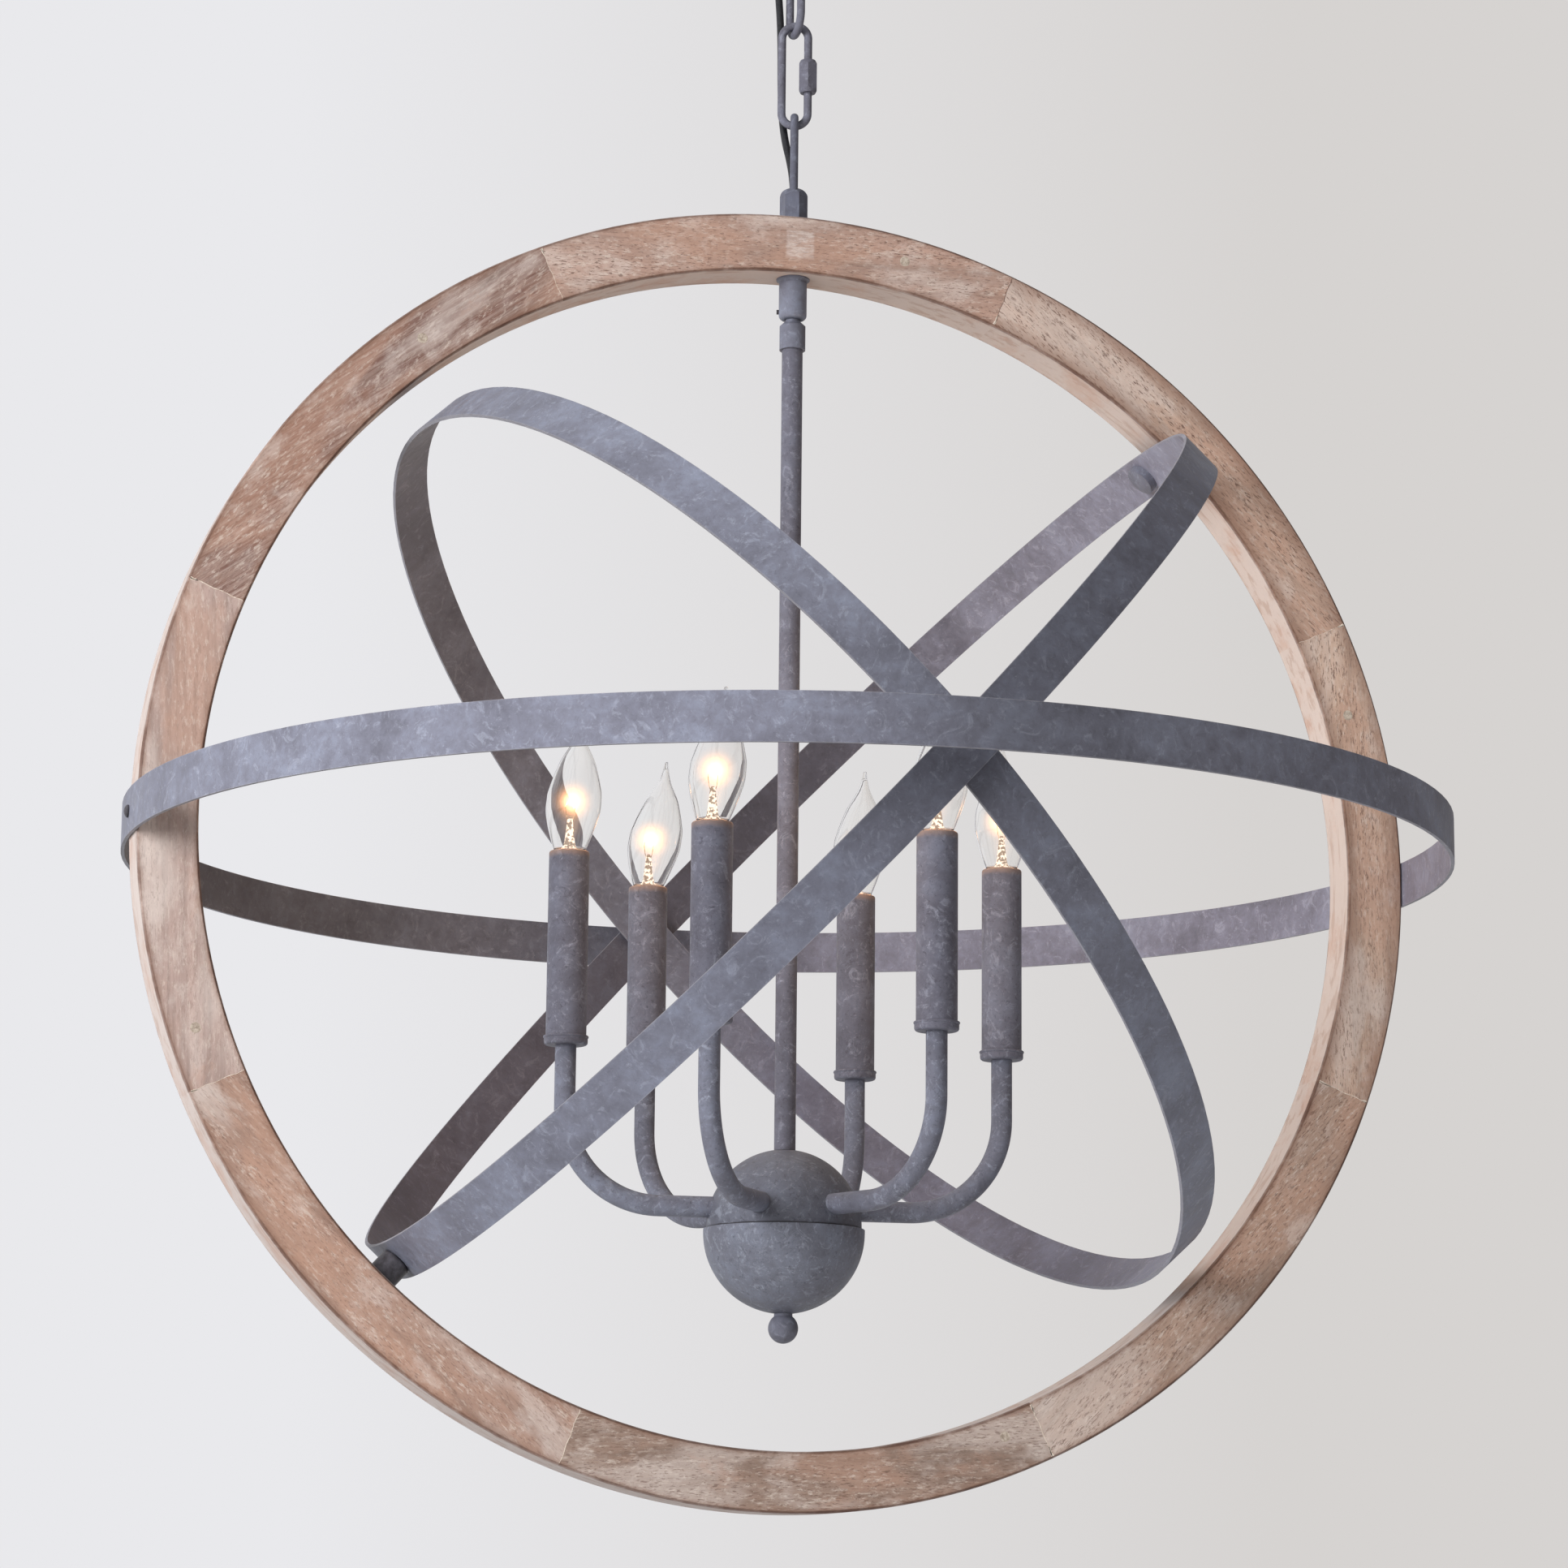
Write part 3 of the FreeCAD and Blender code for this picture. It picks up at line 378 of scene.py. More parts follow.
# Plain finishes. Each has a noise (its shift, then scale, detail and roughness) between two colours, which
# lie at two places in it. A pair for the roughness goes from one colour's side to the other's. A bump has
# a strength and a distance.
finishes = {
    "platedSteel": {
        "shift": (0.3, 0.1, 0.2), "noise": (60.0, 6.0, 0.6),
        "places": (0.3, 0.7), "colours": ((150, 148, 140), (196, 197, 200)),
        "metallic": 0.9, "roughness": (0.28, 0.42),
    },
    "darkSteel": {
        "shift": (0.7, 0.4, 0.1), "noise": (240.0, 5.0, 0.6),
        "places": (0.35, 0.65), "colours": ((56, 53, 56), (84, 81, 87)),
        "metallic": 0.3, "roughness": (0.38, 0.52),
    },
    "woodFiller": {
        "shift": (0.2, 0.5, 0.3), "noise": (500.0, 5.0, 0.6),
        "places": (0.35, 0.62), "colours": ((190, 172, 154), (222, 208, 194)),
        "roughness": 0.8, "bump": (0.2, 0.0004),
    },
    "plugFiller": {
        "shift": (0.1, 0.3, 0.8), "noise": (520.0, 5.0, 0.65),
        "places": (0.36, 0.62), "colours": ((146, 130, 116), (196, 182, 166)),
        "roughness": 0.85, "bump": (0.25, 0.0004),
    },
    "glueLine": {
        "shift": (0.4, 0.1, 0.6), "noise": (700.0, 4.0, 0.6),
        "places": (0.35, 0.62), "colours": ((84, 62, 52), (128, 100, 86)),
        "roughness": 0.85,
    },
    "cordJacket": {
        "shift": (0, 0, 0), "noise": (700.0, 3.0, 0.5),
        "places": (0.3, 0.7), "colours": ((18, 18, 20), (36, 36, 40)),
        "roughness": 0.4, "bump": (0.15, 0.0003),
    },
    "lampholder": {
        "shift": (0.1, 0, 0), "noise": (120.0, 4.0, 0.5),
        "places": (0.3, 0.7), "colours": ((214, 208, 194), (232, 228, 218)),
        "roughness": 0.5,
    },
    "lampGlass": {
        "shift": (0, 0, 0), "noise": (45.0, 2.0, 0.4),
        "places": (0.3, 0.7), "colours": ((254, 253, 252), (255, 255, 254)),
        "roughness": 0.0, "ior": 1.46,
    },
}


def plainFinish(name):
    recipe = finishes[name]
    mat, tree, shader = newMaterial(name)
    place = shiftedCoords(tree, recipe["shift"])[1]
    speck = noise(tree, place, *recipe["noise"])
    stops = [(at, linear(*colour)) for at, colour in zip(recipe["places"], recipe["colours"])]
    feed(tree, shader.inputs["Base Color"], colourRamp(tree, speck, stops))
    rough = recipe["roughness"]
    if isinstance(rough, tuple):
        rough = rampBetween(tree, speck, *noiseReach, *rough)
    feed(tree, shader.inputs["Roughness"], rough)
    if "metallic" in recipe:
        shader.inputs["Metallic"].default_value = recipe["metallic"]
    if "bump" in recipe:
        bump(tree, shader, speck, *recipe["bump"])
    if "ior" in recipe:
        shader.inputs["IOR"].default_value = recipe["ior"]
        shader.inputs["Transmission Weight"].default_value = 1.0
    return mat


# Weathered wood. The grain runs along each segment's chord.
wood = {
    "outer": 0.376,
    "inner": 0.3417,
    "halfThick": 0.0145,
    "firstAngle": 2,
    "segmentAngle": 45,
    "tints": [(189, 161, 143), (183, 155, 138), (168, 139, 125), (143, 119, 109), (172, 149, 140),
              (164, 134, 119), (143, 121, 108), (167, 141, 125)],
    "darker": 0.84,
    "paler": 1.09,
    "haze": linear(213, 200, 192),
    "warm": linear(186, 147, 126),
    "pore": linear(216, 202, 190),
    "fleck": linear(98, 72, 62),
    "rim": linear(190, 178, 172),
    "rimGrain": linear(160, 136, 123),
    "rimWarm": linear(178, 146, 130),
    "stain": linear(130, 98, 82),
    "sawn": linear(116, 84, 75),
    "burnt": linear(74, 50, 42),
    "patch": linear(216, 204, 197),
    # Step of the seed, scale along and across the grain, detail, roughness and warp of each noise
    "noises": {
        "fine": (0, 16.0, 260.0, 6.0, 0.62, 0.2),
        "flecks": (5, 240.0, 1100.0, 5.0, 0.7, 0.3),
        "pores": (7, 150.0, 520.0, 6.0, 0.75, 0.3),
        "broad": (9, 5.0, 60.0, 4.0, 0.55, 0.4),
        "cloud": (2, 26.0, 40.0, 7.0, 0.68, 0.25),
        "patches": (13, 9.0, 26.0, 3.0, 0.5, 0.2),
    },
    "sawMarks": (24.0, 720.0, 4.0, 0.6, 0.3),
    "seedShifts": (3.1, 1.7, 0.9),
    "depthShare": 0.6,
    "grainShares": (0.55, 0.45),
    "grainStops": (0.34, 0.50, 0.66),
    # Layers over the grain, in turn: noise, where the layer starts and ends in it, its strength at both,
    # its colour
    "layers": [
        ("patches", 0.50, 0.60, 0.0, 0.40, "haze"),
        ("patches", 0.38, 0.48, 0.40, 0.0, "warm"),
        ("cloud", 0.50, 0.66, 0.0, 0.34, "haze"),
        ("cloud", 0.34, 0.46, 0.26, 0.0, "warm"),
    ],
    "sawLayers": [(0.47, 0.60, 0.0, 0.85, "sawn"), (0.36, 0.44, 0.18, 0.0, "haze")],
    "sawnSegment": 4,
    "sawnTurn": -11.0,
    "thicker": (0.38, 0.58, 0.55, 1.0),
    "poreSpread": (0.51, 0.64, 0.0, 0.5),
    "fleckSpread": (0.52, 0.63),
    "fleckShares": [0.8, 0.9, 0.8, 0.35, 0.3, 0.5, 0.65, 0.65],
    "patchSegment": 3,
    "patchEdge": (0.0082, 0.0104, 0.50, 0.0),
    "patchWander": 0.002,
    "patchPores": (0.40, 0.60, 0.35, 1.0),
    "rimGrainSpread": (0.50, 0.62, 0.0, 0.55),
    "rimWarmSpread": (0.36, 0.50, 0.5, 0.0),
    # Distances from a rim, a face or a corner at which these start and end, and their strength at both
    "rimDepth": (0.0002, 0.0009, 0.92, 0.0),
    "faceDepth": (0.0002, 0.0016, 1.0, 0.0),
    "burntDepth": (0.0018, 0.0030, 0.85, 0.0),
    "burntWander": 0.0022,
    "stainStart": 0.0040,
    "stainEnd": 0.0030,
    "stainReach": 0.0060,
    "stainReaches": [1.9, 2.1, 0.8, 1.2, 0.9, 1.1, 0.9, 1.0],
    "stainWander": 0.008,
    "stainShare": 0.62,
    "specular": 0.25,
    "roughness": (0.66, 0.84),
    "bump": (0.3, 0.0006),
}


def stretchedNoise(tree, vector, seed, along, across, *rest):
    shift = [seed * v for v in wood["seedShifts"]]
    scale = (along, across * wood["depthShare"], across)
    mapping = addNode(tree, "ShaderNodeMapping", {"Vector": vector, "Location": shift, "Scale": scale})
    return noise(tree, mapping.outputs[0], 1.0, *rest)


def turnedInPlane(tree, vector, degrees):
    inputs = {"Vector": vector, "Angle": math.radians(degrees)}
    return addNode(tree, "ShaderNodeVectorRotate", inputs, rotation_type="Y_AXIS").outputs[0]


def woodMaterial(number):
    mat, tree, shader = newMaterial("wood" + str(number))
    seed = float(number)
    coords = addNode(tree, "ShaderNodeTexCoord").outputs
    # From the ring's centre, turned so that X runs along the grain and Z across it
    centred = vectorMaths(tree, "SUBTRACT", coords["Object"], ringCentre)
    angle = wood["firstAngle"] + wood["segmentAngle"] * (number - 1)
    grainPlace = turnedInPlane(tree, centred, angle - 90)
    grain = {}
    for key, (step, *rest) in wood["noises"].items():
        grain[key] = stretchedNoise(tree, grainPlace, seed + step, *rest)
    tint = wood["tints"][number - 1]
    under = linear(*[v * wood["darker"] for v in tint])
    over = linear(*[min(v * wood["paler"], 255) for v in tint])
    mixGrain = weightedSum(tree, grain["fine"], grain["broad"], wood["grainShares"])
    colour = colourRamp(tree, mixGrain, list(zip(wood["grainStops"], (under, linear(*tint), over))))
    if number == wood["sawnSegment"]:
        # Saw marks slant across this one
        slanted = turnedInPlane(tree, grainPlace, wood["sawnTurn"])
        marks = stretchedNoise(tree, slanted, seed, *wood["sawMarks"])
        for *spread, layer in wood["sawLayers"]:
            colour = blendColour(tree, rampBetween(tree, marks, *spread), colour, wood[layer])
    for source, *spread, layer in wood["layers"]:
        colour = blendColour(tree, rampBetween(tree, grain[source], *spread), colour, wood[layer])
    # Speckle: pale filled pores and dark flecks, thicker in some places than in others
    thick = rampBetween(tree, grain["broad"], *wood["thicker"])
    poreShare = maths(tree, "MULTIPLY", rampBetween(tree, grain["pores"], *wood["poreSpread"]), thick)
    colour = blendColour(tree, poreShare, colour, wood["pore"])
    flecks = rampBetween(tree, grain["flecks"], *wood["fleckSpread"], 0.0, wood["fleckShares"][number - 1])
    colour = blendColour(tree, maths(tree, "MULTIPLY", flecks, thick), colour, wood["fleck"])
    # How far a point is from the outer rim, the inner rim and the two faces
    x, y, z = splitParts(tree, centred)
    squares = [maths(tree, "MULTIPLY", v, v) for v in (x, z)]
    radius = maths(tree, "SQRT", maths(tree, "ADD", *squares))
    fromOuter = maths(tree, "SUBTRACT", wood["outer"], radius)
    fromInner = maths(tree, "SUBTRACT", radius, wood["inner"])
    fromRim = maths(tree, "MINIMUM", fromOuter, fromInner)
    fromFace = maths(tree, "SUBTRACT", wood["halfThick"], maths(tree, "ABSOLUTE", y))
    if number == wood["patchSegment"]:
        # A pale filled patch under the loop's collar
        middle = (wood["outer"] + wood["inner"]) / 2
        rise = maths(tree, "ABSOLUTE", maths(tree, "SUBTRACT", radius, middle))
        fromMiddle = maths(tree, "MAXIMUM", maths(tree, "ABSOLUTE", x), rise)
        edge = roughened(tree, fromMiddle, grain["cloud"], wood["patchWander"])
        patch = rampBetween(tree, edge, *wood["patchEdge"])
        patch = maths(tree, "MULTIPLY", patch, rampBetween(tree, grain["pores"], *wood["patchPores"]))
        colour = blendColour(tree, patch, colour, wood["patch"])
    # The sawn rims are paler than the faces
    rimGrain = rampBetween(tree, grain["fine"], *wood["rimGrainSpread"])
    rimColour = blendColour(tree, rimGrain, wood["rim"], wood["rimGrain"])
    rimWarm = rampBetween(tree, grain["cloud"], *wood["rimWarmSpread"])
    rimColour = blendColour(tree, rimWarm, rimColour, wood["rimWarm"])
    colour = blendColour(tree, rampBetween(tree, fromRim, *wood["rimDepth"]), colour, rimColour)
    # Stain near the edges of a face and a burnt line on the eased corners
    stained = roughened(tree, fromRim, grain["cloud"], wood["stainWander"])
    end = wood["stainEnd"] + wood["stainReach"] * wood["stainReaches"][number - 1]
    stainShare = rampBetween(tree, stained, wood["stainStart"], end, wood["stainShare"], 0.0)
    onFace = rampBetween(tree, fromFace, *wood["faceDepth"])
    colour = blendColour(tree, maths(tree, "MULTIPLY", stainShare, onFace), colour, wood["stain"])
    corner = roughened(tree, maths(tree, "ADD", fromRim, fromFace), grain["cloud"], wood["burntWander"])
    colour = blendColour(tree, rampBetween(tree, corner, *wood["burntDepth"]), colour, wood["burnt"])
    feed(tree, shader.inputs["Base Color"], colour)
    shader.inputs["Specular IOR Level"].default_value = wood["specular"]
    feed(tree, shader.inputs["Roughness"], rampBetween(tree, grain["broad"], *noiseReach, *wood["roughness"]))
    bump(tree, shader, grain["fine"], *wood["bump"])
    return mat


def setMaterial(obj, mat):
    if not obj.material_slots:
        obj.data.materials.append(None)
    for one in obj.material_slots:
        one.link = "OBJECT"
        one.material = mat


# The nodes with a plain finish. The wood segments have their own, and all the others are painted.
plainNodes = {
    "platedSteel": ["ceiling_crossbar", "canopy_nipple", "canopy_nut", "frame_nipple", "hub_nipple",
                    "hub_lock_nuts", "arm_nuts"],
    "darkSteel": ["equator_screws", "swivel_set_screw", "band_spacers"],
    "plugFiller": ["wood_plugs"],
    "cordJacket": ["power_cord"],
    "lampholder": ["candle_sockets"],
    "lampGlass": ["bulb_" + str(k + 1) for k in range(6)],
}
plain = {name: plainFinish(name) for name in finishes}


def setNodeMaterials():
    finishOf = {node: finish for finish, names in plainNodes.items() for node in names}
    dice = random.Random(4)
    for name in sorted(nodes):
        if name.startswith("wood_segment_"):
            mat = woodMaterial(int(name.split("_")[-1]))
        elif name in finishOf:
            mat = plain[finishOf[name]]
        else:
            mat = paintedMetal(name, [dice.uniform(-3, 3) for _ in range(3)])
        setMaterial(nodes[name], mat)


setNodeMaterials()
print("materials set")


def meshObject(name, bm, mat, smooth=True):
    mesh = bpy.data.meshes.new(name)
    bm.to_mesh(mesh)
    bm.free()
    for face in mesh.polygons:
        face.use_smooth = smooth
    obj = addObject(name, mesh)
    setMaterial(obj, mat)
    return obj


def finishMesh(name, bm, mat, smooth=True):
    bmesh.ops.recalc_face_normals(bm, faces=bm.faces)
    return meshObject(name, bm, mat, smooth)


def ringSurface(bm, sections):
    # A closed skin over sections, which are lists of points of one length each, joined in turn
    rows = [[bm.verts.new(p) for p in section] for section in sections]
    count = len(rows[0])
    for a, b in zip(rows, rows[1:]):
        for k in range(count):
            n = (k + 1) % count
            bm.faces.new((a[k], a[n], b[n], b[k]))
    bm.faces.new(rows[0][::-1])
    bm.faces.new(rows[-1])


def circlePoints(centre, radius, count, axisA=Vector((1, 0, 0)), axisB=Vector((0, 1, 0))):
    points = []
    for k in range(count):
        angle = 2 * math.pi * k / count
        points.append(centre + radius * (math.cos(angle) * axisA + math.sin(angle) * axisB))
    return points


def sweptTube(bm, path, radius, count):
    # A round wire along points, its frame carried along without twist
    sections = []
    side = None
    for k, p in enumerate(path):
        along = (path[min(k + 1, len(path) - 1)] - path[max(k - 1, 0)]).normalized()
        if side is None:
            side = along.orthogonal().normalized()
        side = (side - along * side.dot(along)).normalized()
        sections.append(circlePoints(p, radius, count, side, along.cross(side)))
    ringSurface(bm, sections)


# Cord, over the same points as the CAD route: millimetres across, behind and up
cord = {
    "diameter": 0.0044,
    "low": -0.2543,
    "high": -0.0434,
    "turn": -16.0,
    "bendTop": -0.170,
    "bendEnd": -0.2485,
    "points": [(0.0, 0.0, 8.5), (-0.5, 0.2, 20.0), (-2.5, 0.7, 32.0), (-4.9, 2.2, 42.0), (-6.4, 5.4, 52.0),
               (-7.6, 7.8, 64.0), (-8.2, 8.4, 82.0), (-8.3, 8.7, 102.0), (-8.9, 9.0, 122.0),
               (-10.4, 8.8, 142.0), (-11.4, 8.2, 160.0), (-11.6, 7.0, 174.0), (-10.4, 4.4, 186.5),
               (-5.9, 0.9, 197.5), (-0.8, 0.05, 208.0), (0.0, 0.0, 219.4)],
    "roundness": 5,
    "steps": 10,
    "mergeWithin": 1e-6,
}


def cordPoints():
    turn = math.radians(cord["turn"])
    across = Vector((math.cos(turn), math.sin(turn), 0))
    behind = Vector((-math.sin(turn), math.cos(turn), 0))
    points = []
    for a, b, c in cord["points"]:
        lift = cord["low"] + (c - cord["points"][0][2]) / 1000
        points.append(across * (a / 1000) + behind * (b / 1000) + Vector((0, 0, lift)))
    points[-1].z = cord["high"]
    return points


def buildCord():
    points = cordPoints()
    curve = bpy.data.curves.new("power_cord_jacket", "CURVE")
    curve.dimensions = "3D"
    curve.bevel_depth = cord["diameter"] / 2
    curve.bevel_resolution = cord["roundness"]
    curve.resolution_u = cord["steps"]
    curve.use_fill_caps = True
    spline = curve.splines.new("NURBS")
    spline.points.add(len(points) - 1)
    for point, place in zip(spline.points, points):
        point.co = (*place, 1)
    spline.order_u = 3
    spline.use_endpoint_u = True
    curve.materials.append(plain["cordJacket"])
    shape = addObject("cord_shape", curve)
    tube = bpy.data.meshes.new_from_object(shape)
    # The same curve without its thickness is the route
    curve.bevel_depth = 0
    line = bpy.data.meshes.new_from_object(shape)
    bpy.data.objects.remove(shape)
    bpy.data.meshes.remove(line)
    bm = bmesh.new()
    bm.from_mesh(tube)
    bmesh.ops.remove_doubles(bm, verts=bm.verts, dist=cord["mergeWithin"])
    bm.to_mesh(tube)
    bm.free()
    obj = addObject("power_cord_jacket", tube)
    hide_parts("power_cord")
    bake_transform(obj)
    return sum((b - a).length for a, b in zip(points, points[1:]))


print("cord", round(buildCord(), 4))


# Butt welds of the two chain links: a low bead round the wire, halfway down one side
weld = {
    "radius": 0.0024,
    "swell": 0.0003,
    "wobble": (0.8, 1.15),
    "lift": 0.00002,
    "halfLength": 0.0028,
    "rows": 11,
    "around": 24,
    "beads": {
        "chain_link_2": ("upper_link", (0.0116, 0, -0.09555)),
        "chain_link_1": ("lower_link", (0, -0.0116, -0.1317)),
    },
}


def buildWelds():
    dice = random.Random(6)
    for name, (body, place) in weld["beads"].items():
        bm = bmesh.new()
        sections = []
        for t in np.linspace(-1, 1, weld["rows"]):
            swell = weld["swell"] * (1 - t * t) * dice.uniform(*weld["wobble"])
            centre = Vector(place) + Vector((0, 0, weld["halfLength"] * t))
            radius = float(weld["radius"] + swell + weld["lift"])
            sections.append(circlePoints(centre, radius, weld["around"]))
        ringSurface(bm, sections)
        bead = finishMesh(name + "_weld", bm, nodes[name].material_slots[0].material)
        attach(bead, body)


buildWelds()
print("welds built")


# Clear flame lamps with bent tips, lit. Heights are above a lamp's foot, in the sleeve's mouth.
lamp = {
    "angles": [54.6, 114.6, 174.6, 234.6, 294.6, 354.6],
    "reach": 0.1263,
    "sink": 0.0015,
    "height": 0.077,
    "radius": 0.0159,
    "wall": 0.0006,
    "thinnest": 0.0003,
    "rows": 44,
    "around": 40,
    "heights": [0, 0.058, 0.149, 0.249, 0.344, 0.435, 0.526, 0.617, 0.708, 0.786, 0.857, 0.929, 1.0],
    "radii": [0.50, 0.62, 0.77, 0.91, 0.99, 0.98, 0.89, 0.76, 0.60, 0.40, 0.23, 0.125, 0.065],
    "shifts": [0, 0.04, 0.12, 0.22, 0.33, 0.43, 0.53, 0.63, 0.73, 0.81, 0.88, 0.95, 1.0],
    "tipShifts": [0.0049, 0.0100, 0.0053, 0.0066, 0.0050, 0.0050],
    "turns": [-16, -16, -16, -16, 30, 70],
    "tipEnd": [(0.00035, 0.85), (0.0006, 0.5), (0.0007, 0.15)],
    # Heights and radii of the stem, and steps out and up of a lead wire
    "stem": [(0.0008, 0.0052), (0.003, 0.0040), (0.007, 0.0030), (0.013, 0.0023), (0.017, 0.0019),
             (0.020, 0.0016), (0.0215, 0.0009)],
    "stemAround": 20,
    "pinchFrom": 0.012,
    "pinch": 0.55,
    "leads": [(0.0012, 0.019), (0.0022, 0.022), (0.0026, 0.0252), (0.0028, 0.0272)],
    "wire": 0.0002,
    "wireAround": 6,
    "coilHalf": 0.0028,
    "coilLow": 0.0272,
    "coilArch": 0.0040,
    "coilRadius": 0.0006,
    "coilTurns": 10,
    "coilSteps": 121,
    # Bright and dull colour of each glowing part, and its strength at both
    "glows": {
        "filamentGlow": ((255, 226, 180), (255, 206, 150), 3.0, 1.8),
        "leadGlow": ((255, 214, 170), (206, 158, 118), 0.9, 0.6),
        "stemGlow": ((255, 234, 212), (214, 184, 160), 1.5, 0.66),
    },
    "flicker": (520.0, 2.0, 0.5),
    "flickerStops": (0.45, 0.55),
    "flickerSpread": (0.45, 0.56),
    "halo": 620.0,
    "haloRadius": 0.0135,
    "haloSegments": (32, 20),
    "haloShift": 0.0012,
    "haloHeight": 0.0305,
    "haloColours": [(0.0, linear(255, 232, 200)), (0.6, linear(255, 180, 116))],
    "haloPower": 3.4,
    "haloHaze": 0.05,
    "haloWarmth": 240.0,
    "haloFilter": (1.0, 0.80, 0.55, 1.0),
    "haloStepRate": 0.25,
    "capTop": -0.0002,
    "capLength": 0.0155,
    "capRadius": 0.0055,
    "capThread": 0.00025,
    "capTurns": 6,
    "capRows": 32,
    "capAround": 28,
    "contactHeight": -0.0175,
    "contactRadius": 0.0030,
    "light": 0.2,
    "lightColour": (1.0, 0.62, 0.30),
    "lightSize": 0.003,
    "lightHeight": 0.029,
}


def glowMaterial(name):
    # A part inside a lit lamp: it only gives light, in facets
    bright, dull, strength, dullStrength = lamp["glows"][name]
    mat, tree, out = emptyMaterial(name)
    place = shiftedCoords(tree, (0, 0, 0))[1]
    flicker = noise(tree, place, *lamp["flicker"])
    stops = list(zip(lamp["flickerStops"], (linear(*dull), linear(*bright))))
    glow = addNode(tree, "ShaderNodeEmission", {
        "Color": colourRamp(tree, flicker, stops),
        "Strength": rampBetween(tree, flicker, *lamp["flickerSpread"], dullStrength, strength)})
    feed(tree, out.inputs["Surface"], glow.outputs[0])
    return mat


def haloMaterial(name, centre):
    # The soft bloom round a lit filament: light that thins out with distance from it
    mat, tree, out = emptyMaterial(name)
    mat.cycles.volume_step_rate = lamp["haloStepRate"]
    coords = addNode(tree, "ShaderNodeTexCoord").outputs
    reach = vectorMaths(tree, "LENGTH", vectorMaths(tree, "SUBTRACT", coords["Object"], centre))
    near = maths(tree, "DIVIDE", reach, lamp["haloRadius"])
    room = maths(tree, "SUBTRACT", 1.0, near, clamp=True)
    fade = roughened(tree, maths(tree, "POWER", room, lamp["haloPower"]), room, lamp["haloHaze"])
    glow = addNode(tree, "ShaderNodeEmission", {
        "Color": colourRamp(tree, near, lamp["haloColours"]),
        "Strength": maths(tree, "MULTIPLY", fade, lamp["halo"])})
    # It takes a little blue out of what lies behind, so that it also shows on a pale wall
    warmth = addNode(tree, "ShaderNodeVolumeAbsorption", {
        "Color": lamp["haloFilter"],
        "Density": maths(tree, "MULTIPLY", fade, lamp["haloWarmth"])})
    both = addNode(tree, "ShaderNodeAddShader", {0: glow.outputs[0], 1: warmth.outputs[0]})
    feed(tree, out.inputs["Volume"], both.outputs[0])
    return mat


def smoothCurve(xs, ys, at):
    # Piecewise cubic through the points, with slopes limited so that it doesn't overshoot
    xs, ys = np.array(xs, float), np.array(ys, float)
    step = np.diff(xs)
    slope = np.diff(ys) / step
    tangent = np.zeros(len(xs))
    tangent[0], tangent[-1] = slope[0], slope[-1]
    for k in range(1, len(xs) - 1):
        if slope[k - 1] * slope[k] > 0:
            tangent[k] = 2 * slope[k - 1] * slope[k] / (slope[k - 1] + slope[k])
    k = np.clip(np.searchsorted(xs, at) - 1, 0, len(step) - 1)
    t = (at - xs[k]) / step[k]
    return ((2 * t**3 - 3 * t**2 + 1) * ys[k] + (t**3 - 2 * t**2 + t) * step[k] * tangent[k]
            + (3 * t**2 - 2 * t**3) * ys[k + 1] + (t**3 - t**2) * step[k] * tangent[k + 1])


def leanDirection(k):
    # The way that a lamp's tip bends
    turn = math.radians(lamp["turns"][k])
    return Vector((math.cos(turn), math.sin(turn), 0))


def lampShell(k, foot, inset):
    lean = leanDirection(k) * lamp["tipShifts"][k]
    sections = []
    for t in np.linspace(0, 1, lamp["rows"]):
        radius = lamp["radius"] * float(smoothCurve(lamp["heights"], lamp["radii"], t))
        shift = float(smoothCurve(lamp["heights"], lamp["shifts"], t))
        centre = foot + lean * shift + Vector((0, 0, lamp["height"] * t))
        sections.append(circlePoints(centre, max(radius - inset, lamp["thinnest"]), lamp["around"]))
    if not inset:
        # A small rounded end on the drawn-out tip
        for rise, share in lamp["tipEnd"]:
            sections.append(circlePoints(centre + Vector((0, 0, rise)), radius * share, lamp["around"]))
    return sections


def lampGlass(k, foot, number):
    bm = bmesh.new()
    ringSurface(bm, lampShell(k, foot, 0.0))
    outer = list(bm.faces)
    # The inner skin stops short of the foot and of the solid tip, and faces the hollow
    ringSurface(bm, lampShell(k, foot, lamp["wall"])[1:-2])
    inner = list(bm.faces)[len(outer):]
    bm.normal_update()
    bmesh.ops.recalc_face_normals(bm, faces=outer)
    bmesh.ops.recalc_face_normals(bm, faces=inner)
    bmesh.ops.reverse_faces(bm, faces=inner)
    shell = meshObject("lamp_glass_" + number, bm, plain["lampGlass"])
    shell.visible_shadow = False
    return shell


def lampStem(foot, number):
    # Pinched glass stem with its flare
    bm = bmesh.new()
    sections = []
    for rise, radius in lamp["stem"]:
        flat = lamp["pinch"] if rise > lamp["pinchFrom"] else 1.0
        centre = foot + Vector((0, 0, rise))
        sections.append(circlePoints(centre, radius, lamp["stemAround"], axisB=Vector((0, flat, 0))))
    ringSurface(bm, sections)
    return finishMesh("lamp_stem_" + number, bm, glows["stemGlow"])


def lampLeads(foot, number):
    bm = bmesh.new()
    for side in (-1, 1):
        lead = [foot + Vector((side * out, 0, up)) for out, up in lamp["leads"]]
        sweptTube(bm, lead, lamp["wire"], lamp["wireAround"])
    return finishMesh("lamp_leads_" + number, bm, glows["leadGlow"])


